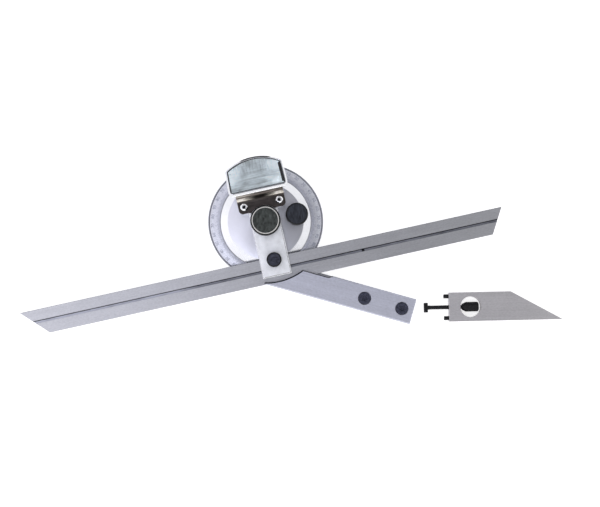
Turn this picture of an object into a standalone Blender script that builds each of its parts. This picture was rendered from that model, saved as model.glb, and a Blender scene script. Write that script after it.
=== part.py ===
"""Universal bevel protractor with its acute angle attachment, modelled as separate pieces.

The tool lies on its flat back. The origin is where the swivel axis meets the surface below,
+X runs along the stock, +Z points up at the reader, and the stock's working edge faces -Y.
Pieces on the turret are drawn with the blade along their own X axis and are carried by an
empty on the swivel axis, which is turned to the angle between blade and stock.
"""

import math

import bmesh
import bpy

MM = 0.001

# Fits between pieces
SEAT_GAP = 0.3 * MM
RUNNING_GAP = 0.1 * MM
CUT_OVERRUN = 1.0 * MM
QUARTER_TURN = 90.0
ROUND_SIDES = 32
LARGE_ROUND_SIDES = 64
ARC_STEPS = 6

# Angles at which the pieces stand
SWIVEL_ANGLE = 28.0
ATTACHMENT_ANGLE = 16.8

# Dial body, with the back plate of the stock in one piece
DIAL_RADIUS = 35.2 * MM
BODY_THICKNESS = 4.5 * MM
BODY_FLOOR = 1.1 * MM
BODY_RIM = 0.7 * MM
BODY_CHAMFER = 0.35 * MM
SPINDLE_SEAT_DEPTH = 0.4 * MM
HEEL_REACH = 6.0 * MM
HEEL_RUN = 8.0 * MM
HEEL_RISE = 7.0 * MM
WEB_RUN = 8.0 * MM
WEB_RISE = 9.0 * MM
WEB_FILLET = 5.0 * MM

# Dial ring that carries the graduations
DIAL_RING_THICKNESS = 0.9 * MM
DIAL_RING_CHAMFER = 0.15 * MM

# Stock
STOCK_LENGTH = 101.0 * MM
STOCK_EDGE = 37.0 * MM
STOCK_WIDTH = 15.7 * MM
FRONT_BAR_THICKNESS = 2.2 * MM
FRONT_BAR_CHAMFER = 0.6 * MM
FRONT_ARC_CLEARANCE = 1.95 * MM
FRONT_TIP_REACH = 9.5 * MM
FRONT_TIP_THICKNESS = 0.8 * MM
RELIEF_DEPTH = 1.4 * MM
RELIEF_END = 48.3 * MM
RELIEF_RAMP = 2.4 * MM
SPACER_LEAD = 6.4 * MM

# Stock screws
STOCK_SCREW_MARGIN = 7.2 * MM
STOCK_SCREW_PITCH = 23.4 * MM
STOCK_SCREW_RADIUS = 1.5 * MM
STOCK_HEAD_RADIUS = 3.75 * MM
STOCK_HEAD_HEIGHT = 1.3 * MM
STOCK_HEAD_CHAMFER = 0.3 * MM
COUNTERBORE_DEPTH = 1.2 * MM
STOCK_SCREW_GRIP = 2.8 * MM
SOCKET_RADIUS = 1.5 * MM
SOCKET_DEPTH = 0.8 * MM

# Ring gear and pinion
GEAR_MODULE = 0.5 * MM
RING_TEETH = 90
PINION_TEETH = 12
PRESSURE_ANGLE = 20.0
PROFILE_SHIFT_SHARE = 0.3
ADDENDUM_SHARE = 0.9
DEDENDUM_SHARE = 1.25
BACKLASH = 0.1 * MM
RING_WALL = 1.4 * MM
RING_FLANK_STEPS = 1
PINION_FLANK_STEPS = 3

# Turret plate with the pad that the blade lies on
TURRET_RADIUS = 27.55 * MM
TURRET_EDGE_THICKNESS = 1.4 * MM
TURRET_RAISE = 1.2 * MM
VERNIER_BAND = 4.35 * MM
TURRET_CHAMFER = 0.15 * MM
PAD_THICKNESS = 1.1 * MM
PAD_ROOT_DEPTH = 1.1 * MM
PAD_ROOT_REACH = 3.6 * MM
BUSH_WALL = 1.6 * MM

# Turret arm
ARM_WIDTH = 17.9 * MM
ARM_REACH = 34.3 * MM
ARM_JAW = 2.2 * MM
ARM_CHAMFER = 0.35 * MM
ARM_HEAD_WIDTH = 27.4 * MM
ARM_HEAD_START = 6.9 * MM
ARM_HEAD_END = 14.2 * MM
ARM_HEAD_FILLET = 2.4 * MM

# Blade
BLADE_LENGTH = 300.0 * MM
BLADE_LEFT_REACH = 157.6 * MM
BLADE_WIDTH = 15.5 * MM
BLADE_THICKNESS = 1.8 * MM
BLADE_OFFSET = 22.4 * MM
BLADE_LEFT_ANGLE = 45.0
BLADE_RIGHT_ANGLE = 60.0
BLADE_CHAMFER = 0.12 * MM
GROOVE_WIDTH = 1.8 * MM
GROOVE_DEPTH = 0.9 * MM
GROOVE_OFFSET = 7.5 * MM

# Spindle, washers and lock knob
SPINDLE_RADIUS = 3.0 * MM
SPINDLE_FLANGE_RADIUS = 7.0 * MM
SPINDLE_FLANGE = 1.6 * MM
SPINDLE_UNDERCUT = 0.3 * MM
SPINDLE_THREAD = 3.6 * MM
WASHER_RADIUS = 8.6 * MM
WASHER_THICKNESS = 0.5 * MM
SPRING_RADIUS = 5.9 * MM
SPRING_THICKNESS = 0.35 * MM
SPRING_RISE = 0.4 * MM
LOCK_KNOB_RADIUS = 9.25 * MM
LOCK_KNOB_HEIGHT = 5.2 * MM
LOCK_KNOB_CHAMFER = 0.5 * MM
LOCK_RING_RADIUS = 8.0 * MM
LOCK_RING_WIDTH = 0.5 * MM
LOCK_RING_DEPTH = 0.35 * MM
LOCK_DISH_DEPTH = 0.2 * MM
LOCK_KNOB_RIDGES = 32
KNURL_DEPTH = 0.22 * MM

# Fine adjustment knob and its pinion shaft
FINE_KNOB_RADIUS = 6.8 * MM
FINE_KNOB_HEIGHT = 6.2 * MM
FINE_KNOB_HUB = 0.5 * MM
FINE_KNOB_RIDGES = 28
FINE_KNOB_CHAMFER = 0.45 * MM
PINION_SHAFT_RADIUS = 1.5 * MM
PINION_SHAFT_TOP = 1.4 * MM

# Blade clamp
CLAMP_OFFSET = 24.2 * MM
CLAMP_KNOB_RADIUS = 4.6 * MM
CLAMP_KNOB_HEIGHT = 3.8 * MM
CLAMP_KNOB_RIDGES = 20
CLAMP_KNOB_CHAMFER = 0.4 * MM
CLAMP_SCREW_RADIUS = 1.4 * MM
CLAMP_TRAVEL = 0.25 * MM
SHOE_THICKNESS = 0.8 * MM
SHOE_WIDTH = 6.0 * MM
SHOE_HEEL = 1.6 * MM
TOE_OVERHANG = 0.35 * MM

# Magnifier
BRACKET_THICKNESS = 0.8 * MM
BRACKET_WIDTH = 29.0 * MM
BRACKET_START = 6.7 * MM
BRACKET_BEND = 14.7 * MM
BRACKET_BEND_RUN = 2.1 * MM
BRACKET_BEND_RADIUS = 0.9 * MM
BRACKET_RISE = 3.3 * MM
BRACKET_TAB = 3.2 * MM
BRACKET_FILLET = 2.6 * MM
BRACKET_ARC_RADIUS = 9.65 * MM
BRACKET_SCREW_SPREAD = 10.9 * MM
BRACKET_SCREW_OFFSET = 10.8 * MM
BRACKET_SCREW_RADIUS = 1.1 * MM
BRACKET_HEAD_RADIUS = 2.35 * MM
BRACKET_HEAD_HEIGHT = 1.2 * MM
BRACKET_HEAD_CROWN = 0.35 * MM
BRACKET_SOCKET_RADIUS = 0.7 * MM
BRACKET_SCREW_GRIP = 1.4 * MM
LENS_START = 19.8 * MM
LENS_SIDE_END = 33.0 * MM
LENS_APEX = 37.6 * MM
LENS_FOOT_WIDTH = 33.4 * MM
LENS_HEAD_WIDTH = 32.4 * MM
LENS_FILLET = 1.2 * MM
LENS_THICKNESS = 2.4 * MM
LENS_CROWN = 0.7 * MM
FRAME_HEIGHT = 3.4 * MM
FRAME_WALL = 1.2 * MM
FRAME_FOOT = 2.2 * MM
FRAME_LEDGE = 0.8 * MM
FRAME_LEDGE_THICKNESS = 0.7 * MM
FRAME_CHAMFER = 0.25 * MM

# Acute angle attachment
ATTACHMENT_GAP = 6.15 * MM
ATTACHMENT_RISE = 8.65 * MM
ATTACHMENT_LENGTH = 68.7 * MM
ATTACHMENT_WIDTH = 17.8 * MM
ATTACHMENT_THICKNESS = 6.4 * MM
ATTACHMENT_POINT_ANGLE = 30.0
ATTACHMENT_TIP_FLAT = 0.4 * MM
ATTACHMENT_CHAMFER = 0.2 * MM
WINDOW_CENTRE = 13.2 * MM
WINDOW_RADIUS = 6.3 * MM
NUT_START = 8.1 * MM
NUT_LENGTH = 10.2 * MM
NUT_RADIUS = 2.95 * MM
NUT_CONE = 2.3 * MM
NUT_NOSE_RADIUS = 1.75 * MM
NUT_ROUNDING = 0.6 * MM
NUT_RIDGES = 18
NUT_KNURL_DEPTH = 0.18 * MM
BOLT_RADIUS = 1.3 * MM
BOLT_REACH = 12.7 * MM
BOLT_TAIL = 16.6 * MM
BOLT_HEAD_LENGTH = 5.9 * MM
BOLT_HEAD_THICKNESS = 2.4 * MM
BOLT_HEAD_HEIGHT = 3.0 * MM
BOLT_HEAD_CHAMFER = 0.3 * MM
BOLT_OVERLAP = 0.5 * MM
PIN_RADIUS = 1.25 * MM
PIN_REACH = 3.0 * MM
PIN_SEAT = 4.0 * MM
PIN_SPREAD = 13.3 * MM
PIN_CHAMFER = 0.25 * MM

# Heights and radii that follow from the sizes above
BODY_TOP = BODY_THICKNESS
LAND_HEIGHT = BODY_TOP - TURRET_EDGE_THICKNESS - SEAT_GAP
TURRET_BOTTOM = LAND_HEIGHT + SEAT_GAP
TURRET_TOP = BODY_TOP + TURRET_RAISE
RECESS_RADIUS = TURRET_RADIUS + SEAT_GAP
RIM_RADIUS = DIAL_RADIUS - BODY_RIM
DIAL_RING_BOTTOM = BODY_TOP - DIAL_RING_THICKNESS
PAD_BOTTOM = BODY_TOP + SEAT_GAP
PAD_TOP = PAD_BOTTOM + PAD_THICKNESS
BLADE_BOTTOM = PAD_TOP + SEAT_GAP
BLADE_TOP = BLADE_BOTTOM + BLADE_THICKNESS
FRONT_BOTTOM = BLADE_TOP + SEAT_GAP
ARM_BOTTOM = TURRET_TOP + SEAT_GAP
ARM_TOP = FRONT_BOTTOM + ARM_JAW
STOCK_TOP = FRONT_BOTTOM + FRONT_BAR_THICKNESS
SHOULDER = BLADE_OFFSET - SEAT_GAP
GEAR_BOTTOM = BODY_FLOOR + SEAT_GAP
GEAR_OFFSET = (RING_TEETH - PINION_TEETH) * GEAR_MODULE / 2
RING_ROOT_RADIUS = GEAR_MODULE * (RING_TEETH / 2 + PROFILE_SHIFT_SHARE + DEDENDUM_SHARE)
RING_TIP_RADIUS = GEAR_MODULE * (RING_TEETH / 2 + PROFILE_SHIFT_SHARE - ADDENDUM_SHARE)
RING_OUTER_RADIUS = RING_ROOT_RADIUS + RING_WALL
CAVITY_RADIUS = RING_OUTER_RADIUS + SEAT_GAP
BUSH_BORE = SPINDLE_RADIUS + RUNNING_GAP
BUSH_RADIUS = BUSH_BORE + BUSH_WALL
PINION_BUSH_BORE = PINION_SHAFT_RADIUS + RUNNING_GAP
PINION_BUSH_RADIUS = PINION_BUSH_BORE + BUSH_WALL / 2
WASHER_BOTTOM = ARM_TOP + SEAT_GAP
LOCK_KNOB_BOTTOM = WASHER_BOTTOM + WASHER_THICKNESS + SEAT_GAP
BRACKET_BOTTOM = ARM_TOP + SEAT_GAP
BRACKET_TOP = BRACKET_BOTTOM + BRACKET_THICKNESS
FRAME_BOTTOM = BRACKET_TOP + BRACKET_RISE + SEAT_GAP
LENS_BOTTOM = FRAME_BOTTOM + FRAME_LEDGE_THICKNESS + SEAT_GAP
STOCK_MIDDLE = -STOCK_EDGE + STOCK_WIDTH / 2
STOCK_INNER_EDGE = -STOCK_EDGE + STOCK_WIDTH
STOCK_SCREW_OUTER = STOCK_LENGTH - STOCK_SCREW_MARGIN
STOCK_SCREW_INNER = STOCK_SCREW_OUTER - STOCK_SCREW_PITCH
SPACER_START = STOCK_SCREW_INNER - SPACER_LEAD
FRONT_ARC_RADIUS = max(DIAL_RADIUS, math.hypot(ARM_REACH, ARM_WIDTH / 2)) + FRONT_ARC_CLEARANCE
BOLT_HEIGHT = ATTACHMENT_THICKNESS / 2
BOLT_STANDS_OUT = (BOLT_REACH + BOLT_HEAD_THICKNESS) * math.cos(math.radians(ATTACHMENT_ANGLE))
ATTACHMENT_X = STOCK_LENGTH + ATTACHMENT_GAP + BOLT_STANDS_OUT
ATTACHMENT_Y = STOCK_MIDDLE + ATTACHMENT_RISE


def material(name, colour, roughness, metallic):
    """A plain material with the piece's own colour, roughness and metal share."""
    made = bpy.data.materials.new(name)
    made.use_nodes = True
    shader = made.node_tree.nodes["Principled BSDF"]
    shader.inputs["Base Color"].default_value = (*colour, 1.0)
    shader.inputs["Roughness"].default_value = roughness
    shader.inputs["Metallic"].default_value = metallic
    return made


def add_object(name, mesh, finish=None, parent=None):
    """An object for a mesh, with its material and its parent."""
    made = bpy.data.objects.new(name, mesh)
    bpy.context.scene.collection.objects.link(made)
    if finish is not None:
        mesh.materials.append(finish)
    made.parent = parent
    return made


def axis_empty(name, parent=None, location=(0, 0, 0), turn=0.0):
    """An empty that stands on an axis and carries the pieces that move about it."""
    empty = bpy.data.objects.new(name, None)
    bpy.context.scene.collection.objects.link(empty)
    empty.parent = parent
    empty.location = location
    empty.rotation_euler = (0, 0, math.radians(turn))
    return empty


def finish_mesh(shape, name, smooth_angle=None):
    """Turn a bmesh into a mesh with its faces outward, shaded smooth where it is round."""
    bmesh.ops.recalc_face_normals(shape, faces=shape.faces)
    mesh = bpy.data.meshes.new(name)
    shape.to_mesh(mesh)
    shape.free()
    if smooth_angle is not None:
        mesh.shade_smooth()
        mesh.set_sharp_from_angle(angle=math.radians(smooth_angle))
    return mesh


def arc(centre, radius, start, end, steps):
    """Points along an arc, from one angle to the other in degrees."""
    angles = [math.radians(start + (end - start) * step / steps) for step in range(steps + 1)]
    return [(centre[0] + radius * math.cos(a), centre[1] + radius * math.sin(a)) for a in angles]


def circle(radius, centre=(0, 0), sides=ROUND_SIDES):
    """Points round a full circle, with none on the X or Y axis."""
    half_side = 2 * QUARTER_TURN / sides
    return arc(centre, radius, half_side, 4 * QUARTER_TURN + half_side, sides)[:-1]


def rounded(corners, steps=ARC_STEPS, closed=True):
    """An outline whose corners (x, y, fillet radius) are replaced by tangent arcs."""
    points = []
    count = len(corners)
    for index, (x, y, radius) in enumerate(corners):
        at_end = index in (0, count - 1)
        if radius == 0 or (at_end and not closed):
            points.append((x, y))
            continue
        before = corners[index - 1]
        after = corners[(index + 1) % count]
        to_before = math.atan2(before[1] - y, before[0] - x)
        to_after = math.atan2(after[1] - y, after[0] - x)
        spread = (to_after - to_before + math.pi) % (2 * math.pi) - math.pi
        half = abs(spread) / 2
        middle = to_before + spread / 2
        centre = (x + radius / math.sin(half) * math.cos(middle),
                  y + radius / math.sin(half) * math.sin(middle))
        sweep = math.pi - abs(spread)
        side = math.copysign(1, spread)
        first = middle + math.pi + side * sweep / 2
        for step in range(steps + 1):
            angle = first - side * sweep * step / steps
            points.append((centre[0] + radius * math.cos(angle), centre[1] + radius * math.sin(angle)))
    return points


def strip(path, thickness):
    """The outline of a bent sheet: a path (y, z) with half the thickness on either side."""
    left, right = [], []
    for index, (x, y) in enumerate(path):
        before = path[max(index - 1, 0)]
        after = path[min(index + 1, len(path) - 1)]
        into = math.atan2(y - before[1], x - before[0]) if index else None
        out = math.atan2(after[1] - y, after[0] - x) if index < len(path) - 1 else into
        into = out if into is None else into
        reach = thickness / 2 / math.cos((out - into) / 2)
        normal = (into + out) / 2 + math.pi / 2
        left.append((x + reach * math.cos(normal), y + reach * math.sin(normal)))
        right.append((x - reach * math.cos(normal), y - reach * math.sin(normal)))
    return left + right[::-1]


def prism(name, outline, bottom, top, finish=None, parent=None, chamfer=0, keep_sharp=None, hole=None,
          smooth_angle=None):
    """A plate: an outline, which may have a hole, drawn up from bottom to top.

    With a chamfer, its upper edges are cut at 45 degrees, apart from those that keep_sharp names.
    """
    shape = bmesh.new()
    edges = []
    for loop in (outline, hole or []):
        points = [shape.verts.new((x, y, bottom)) for x, y in loop]
        edges += [shape.edges.new((points[i - 1], points[i])) for i in range(len(points))]
    if hole:
        bmesh.ops.triangle_fill(shape, edges=edges, use_beauty=True)
    else:
        shape.faces.new([edge.verts[1] for edge in edges])
    raised = bmesh.ops.extrude_face_region(shape, geom=shape.faces[:])
    upper = [item for item in raised["geom"] if isinstance(item, bmesh.types.BMVert)]
    bmesh.ops.translate(shape, verts=upper, vec=(0, 0, top - bottom))
    if chamfer:
        bmesh.ops.recalc_face_normals(shape, faces=shape.faces)
        upper = set(upper)
        rim = [edge for edge in shape.edges if edge.verts[0] in upper and edge.verts[1] in upper
               and abs(edge.calc_face_angle(0)) > math.radians(45)
               and not (keep_sharp and keep_sharp(edge))]
        bmesh.ops.bevel(shape, geom=rim, offset=chamfer, segments=1, profile=0.5, affect="EDGES",
                        clamp_overlap=True)
    return add_object(name, finish_mesh(shape, name, smooth_angle), finish, parent)


def turned(name, profile, finish=None, parent=None, sides=ROUND_SIDES, ridges=0, ridge_depth=0):
    """A turned solid: a profile of (radius, height) carried round the Z axis.

    The profile runs outwards below and inwards above, and closes on itself or on the axis.
    Points with a third value of True are knurled: their radius dips between the ridges.
    """
    shape = bmesh.new()
    steps = 2 * ridges if ridges else sides
    rings = []
    for radius, height, *knurled in profile:
        if radius == 0:
            rings.append([shape.verts.new((0, 0, height))])
            continue
        ring = []
        for step in range(steps):
            angle = 2 * math.pi * step / steps
            reach = radius - (ridge_depth if knurled and step % 2 else 0)
            ring.append(shape.verts.new((reach * math.cos(angle), reach * math.sin(angle), height)))
        rings.append(ring)
    for index, upper in enumerate(rings):
        lower = rings[index - 1]
        if len(upper) == 1 and len(lower) == 1:
            continue
        for step in range(steps):
            after = (step + 1) % steps
            corners = [lower[step % len(lower)], lower[after % len(lower)],
                       upper[after % len(upper)], upper[step % len(upper)]]
            shape.faces.new(list(dict.fromkeys(corners)))
    smooth_angle = None if ridges else 35
    return add_object(name, finish_mesh(shape, name, smooth_angle), finish, parent)


def combine(target, tool, operation="DIFFERENCE"):
    """Cut, join or intersect the target with a hidden tool, and leave the modifier live."""
    tool.hide_render = True
    tool.display_type = "WIRE"
    step = target.modifiers.new(tool.name, "BOOLEAN")
    step.operation = operation
    step.object = tool
    step.solver = "EXACT"
    return target


def drill(target, name, radius, bottom, top, centre=(0, 0), sides=ROUND_SIDES):
    """A round hole along Z, drawn in the frame of the target's own parent."""
    tool = prism(name, circle(radius, centre, sides), bottom, top, parent=target.parent)
    return combine(target, tool)


def mill(target, name, outline, bottom, top):
    """A pocket of the given outline, drawn in the frame of the target's own parent."""
    return combine(target, prism(name, outline, bottom, top, parent=target.parent))


def box_outline(left, right, near, far):
    """The four corners of a rectangle."""
    return [(left, near), (right, near), (right, far), (left, far)]


def involute_angle(base_radius, radius):
    """The polar angle that an involute has turned through at a radius."""
    pressure = math.acos(min(1.0, base_radius / radius))
    return math.tan(pressure) - pressure


def gear_outline(teeth, inner_radius, outer_radius, pitch_width, flank_steps, turn=0.0):
    """An outline of involute lobes between two radii, each of the given width at the pitch circle.

    It is a pinion's own outline, and the inner outline of a ring gear, whose tooth spaces have
    the shape of a pinion's teeth.
    """
    pitch_radius = teeth * GEAR_MODULE / 2
    base_radius = pitch_radius * math.cos(math.radians(PRESSURE_ANGLE))
    flank_start = max(inner_radius, base_radius)
    half_at_pitch = pitch_width / (2 * pitch_radius) + involute_angle(base_radius, pitch_radius)
    radii = [flank_start + (outer_radius - flank_start) * step / flank_steps
             for step in range(flank_steps + 1)]
    if inner_radius < flank_start:
        radii.insert(0, inner_radius)
    halves = [half_at_pitch - involute_angle(base_radius, max(radius, base_radius)) for radius in radii]
    points = []
    for tooth in range(teeth):
        middle = 2 * math.pi * tooth / teeth + math.radians(turn)
        rising = [(radius, middle - half) for radius, half in zip(radii, halves)]
        falling = [(radius, middle + half) for radius, half in zip(radii, halves)][::-1]
        points += [(radius * math.cos(angle), radius * math.sin(angle)) for radius, angle in rising + falling]
    return points


def make_materials():
    """The finishes of the pieces."""
    return {
        "ground_steel": material("ground_steel", (0.36, 0.36, 0.40), 0.38, 1.0),
        "satin_chrome": material("satin_chrome", (0.66, 0.67, 0.72), 0.35, 1.0),
        "bright_chrome": material("bright_chrome", (0.85, 0.86, 0.90), 0.18, 1.0),
        "black_oxide": material("black_oxide", (0.022, 0.024, 0.030), 0.45, 0.6),
        "bronzed_steel": material("bronzed_steel", (0.060, 0.038, 0.032), 0.16, 1.0),
        "bearing_bronze": material("bearing_bronze", (0.45, 0.28, 0.13), 0.35, 1.0),
        "hardened_steel": material("hardened_steel", (0.30, 0.30, 0.32), 0.30, 1.0),
        "lens_glass": material("lens_glass", (0.62, 0.72, 0.78), 0.05, 0.0),
    }


def make_dial_body(finish):
    """The dial's back and the stock's back plate, recessed for the gear, turret and dial ring."""
    bar = rounded([
        (-HEEL_REACH, -STOCK_EDGE, HEEL_REACH / 3),
        (STOCK_LENGTH, -STOCK_EDGE, 0),
        (STOCK_LENGTH, STOCK_INNER_EDGE, 0),
        (DIAL_RADIUS + WEB_RUN / 8, STOCK_INNER_EDGE, WEB_FILLET),
        (DIAL_RADIUS - WEB_RUN, STOCK_INNER_EDGE + WEB_RISE, 0),
        (-HEEL_REACH - HEEL_RUN, -STOCK_EDGE + HEEL_RISE, 0),
    ])
    body = turned("dial_body", [
        (0, 0),
        (DIAL_RADIUS - BODY_CHAMFER, 0),
        (DIAL_RADIUS, BODY_CHAMFER),
        (DIAL_RADIUS, BODY_TOP - BODY_CHAMFER),
        (DIAL_RADIUS - BODY_CHAMFER, BODY_TOP),
        (0, BODY_TOP),
    ], finish, sides=LARGE_ROUND_SIDES)
    combine(body, prism("stock_back_join", bar, 0, BODY_TOP), "UNION")
    above = BODY_TOP + CUT_OVERRUN
    seat_radius = SPINDLE_FLANGE_RADIUS + RUNNING_GAP
    combine(body, turned("dial_body_recess", [
        (0, BODY_FLOOR - SPINDLE_SEAT_DEPTH),
        (seat_radius, BODY_FLOOR - SPINDLE_SEAT_DEPTH),
        (seat_radius, BODY_FLOOR),
        (CAVITY_RADIUS, BODY_FLOOR),
        (CAVITY_RADIUS, LAND_HEIGHT),
        (RECESS_RADIUS, LAND_HEIGHT),
        (RECESS_RADIUS, DIAL_RING_BOTTOM - SEAT_GAP),
        (RIM_RADIUS, DIAL_RING_BOTTOM - SEAT_GAP),
        (RIM_RADIUS, above),
        (0, above),
    ], sides=LARGE_ROUND_SIDES))
    hole_bottom = BODY_TOP - STOCK_SCREW_GRIP - SEAT_GAP
    for place, x in (("inner", STOCK_SCREW_INNER), ("outer", STOCK_SCREW_OUTER)):
        drill(body, f"body_screw_hole_{place}", STOCK_SCREW_RADIUS + SEAT_GAP, hole_bottom, above,
              (x, STOCK_MIDDLE), sides=ROUND_SIDES // 2)
    return body


def make_dial_ring(finish):
    """The ring round the turret that carries the graduations."""
    outer = RIM_RADIUS - SEAT_GAP
    return turned("dial_ring", [
        (RECESS_RADIUS, DIAL_RING_BOTTOM),
        (outer, DIAL_RING_BOTTOM),
        (outer, BODY_TOP - DIAL_RING_CHAMFER),
        (outer - DIAL_RING_CHAMFER, BODY_TOP),
        (RECESS_RADIUS + DIAL_RING_CHAMFER, BODY_TOP),
        (RECESS_RADIUS, BODY_TOP - DIAL_RING_CHAMFER),
    ], finish, sides=LARGE_ROUND_SIDES)


def pinion_tooth_width():
    """The width of a shifted tooth at the pitch circle, without backlash."""
    shift = 2 * PROFILE_SHIFT_SHARE * math.tan(math.radians(PRESSURE_ANGLE))
    return GEAR_MODULE * (math.pi / 2 + shift)


def make_ring_gear(finish):
    """The internal gear, with a tooth space on the X axis."""
    teeth = gear_outline(RING_TEETH, RING_TIP_RADIUS, RING_ROOT_RADIUS, pinion_tooth_width(),
                         RING_FLANK_STEPS)
    outer = circle(RING_OUTER_RADIUS, sides=LARGE_ROUND_SIDES)
    return prism("ring_gear", outer, GEAR_BOTTOM, LAND_HEIGHT, finish, hole=teeth)


def make_spindle(finish):
    """The post on the swivel axis, seated in the body and threaded at its top for the lock knob."""
    flange_bottom = BODY_FLOOR - SPINDLE_SEAT_DEPTH + SEAT_GAP
    flange_top = flange_bottom + SPINDLE_FLANGE
    top = LOCK_KNOB_BOTTOM + SPINDLE_THREAD
    neck = SPINDLE_RADIUS - SPINDLE_UNDERCUT
    return turned("spindle", [
        (0, flange_bottom),
        (SPINDLE_FLANGE_RADIUS, flange_bottom),
        (SPINDLE_FLANGE_RADIUS, flange_top),
        (SPINDLE_RADIUS, flange_top),
        (SPINDLE_RADIUS, WASHER_BOTTOM),
        (neck, WASHER_BOTTOM + SPINDLE_UNDERCUT),
        (neck, LOCK_KNOB_BOTTOM),
        (SPINDLE_RADIUS, LOCK_KNOB_BOTTOM + SPINDLE_UNDERCUT),
        (SPINDLE_RADIUS, top - SPINDLE_UNDERCUT),
        (neck, top),
        (0, top),
    ], finish)


def make_washers(washer_finish, spring_finish):
    """The flat thrust washer on the arm, and the disc spring that sits in the lock knob."""
    bore = SPINDLE_RADIUS + SEAT_GAP
    washer_top = WASHER_BOTTOM + WASHER_THICKNESS
    turned("thrust_washer", [
        (bore, WASHER_BOTTOM),
        (WASHER_RADIUS, WASHER_BOTTOM),
        (WASHER_RADIUS, washer_top),
        (bore, washer_top),
    ], washer_finish)
    spring_bottom = washer_top + SEAT_GAP
    turned("disc_spring", [
        (bore, spring_bottom + SPRING_RISE),
        (SPRING_RADIUS, spring_bottom),
        (SPRING_RADIUS, spring_bottom + SPRING_THICKNESS),
        (bore, spring_bottom + SPRING_RISE + SPRING_THICKNESS),
    ], spring_finish)


def knob_profile(radius, bottom, height, chamfer, bore, bore_depth, recess_radius=0, recess_depth=0):
    """The profile of a knurled knob with a blind bore below, as a list that tops can be added to."""
    profile = [(0, bottom + bore_depth), (bore, bottom + bore_depth)]
    if recess_radius:
        profile += [(bore, bottom + recess_depth), (recess_radius, bottom + recess_depth)]
        bore = recess_radius
    profile += [
        (bore, bottom),
        (radius - chamfer, bottom),
        (radius, bottom + chamfer, True),
        (radius, bottom + height - chamfer, True),
        (radius - chamfer, bottom + height),
    ]
    return profile


def make_lock_knob(finish):
    """The knurled knob on the spindle, with a bright ring line turned into its top."""
    recess_depth = SPRING_RISE + SPRING_THICKNESS + SEAT_GAP
    profile = knob_profile(LOCK_KNOB_RADIUS, LOCK_KNOB_BOTTOM, LOCK_KNOB_HEIGHT, LOCK_KNOB_CHAMFER,
                           SPINDLE_RADIUS + RUNNING_GAP, SPINDLE_THREAD + SEAT_GAP,
                           SPRING_RADIUS + SEAT_GAP, recess_depth)
    top = LOCK_KNOB_BOTTOM + LOCK_KNOB_HEIGHT
    profile += [
        (LOCK_RING_RADIUS + LOCK_RING_WIDTH / 2, top),
        (LOCK_RING_RADIUS + LOCK_RING_WIDTH / 2, top - LOCK_RING_DEPTH),
        (LOCK_RING_RADIUS - LOCK_RING_WIDTH / 2, top - LOCK_RING_DEPTH),
        (LOCK_RING_RADIUS - LOCK_RING_WIDTH / 2, top),
        (0, top - LOCK_DISH_DEPTH),
    ]
    return turned("lock_knob", profile, finish, ridges=LOCK_KNOB_RIDGES, ridge_depth=KNURL_DEPTH)


def make_stock(bar_finish, screw_finish):
    """The spacer, the front bar with its concave end, and the two screws that hold them down."""
    spacer = box_outline(SPACER_START, STOCK_LENGTH, -STOCK_EDGE, STOCK_INNER_EDGE)
    spacer = prism("stock_spacer", spacer, BODY_TOP + SEAT_GAP, FRONT_BOTTOM - SEAT_GAP, bar_finish)
    relieved = STOCK_INNER_EDGE - RELIEF_DEPTH
    tip_height = STOCK_EDGE - FRONT_TIP_THICKNESS
    tip_reach = max(FRONT_TIP_REACH, math.sqrt(max(FRONT_ARC_RADIUS ** 2 - tip_height ** 2, 0)))
    tip_angle = -math.degrees(math.acos(tip_reach / FRONT_ARC_RADIUS))
    apex_angle = math.degrees(math.asin(relieved / FRONT_ARC_RADIUS))
    outline = [
        (tip_reach, -STOCK_EDGE),
        (STOCK_LENGTH, -STOCK_EDGE),
        (STOCK_LENGTH, STOCK_INNER_EDGE),
        (RELIEF_END, STOCK_INNER_EDGE),
        (RELIEF_END - RELIEF_RAMP, relieved),
    ]
    outline += arc((0, 0), FRONT_ARC_RADIUS, apex_angle, tip_angle, 2 * ARC_STEPS)

    def on_the_arc(edge):
        return all(math.hypot(v.co.x, v.co.y) < FRONT_ARC_RADIUS + FRONT_ARC_CLEARANCE for v in edge.verts)

    bar = prism("stock_front_bar", outline, FRONT_BOTTOM, STOCK_TOP, bar_finish,
                chamfer=FRONT_BAR_CHAMFER, keep_sharp=on_the_arc)
    for place, x in (("inner", STOCK_SCREW_INNER), ("outer", STOCK_SCREW_OUTER)):
        make_stock_screw(f"stock_screw_{place}", (x, STOCK_MIDDLE), spacer, bar, screw_finish)


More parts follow.
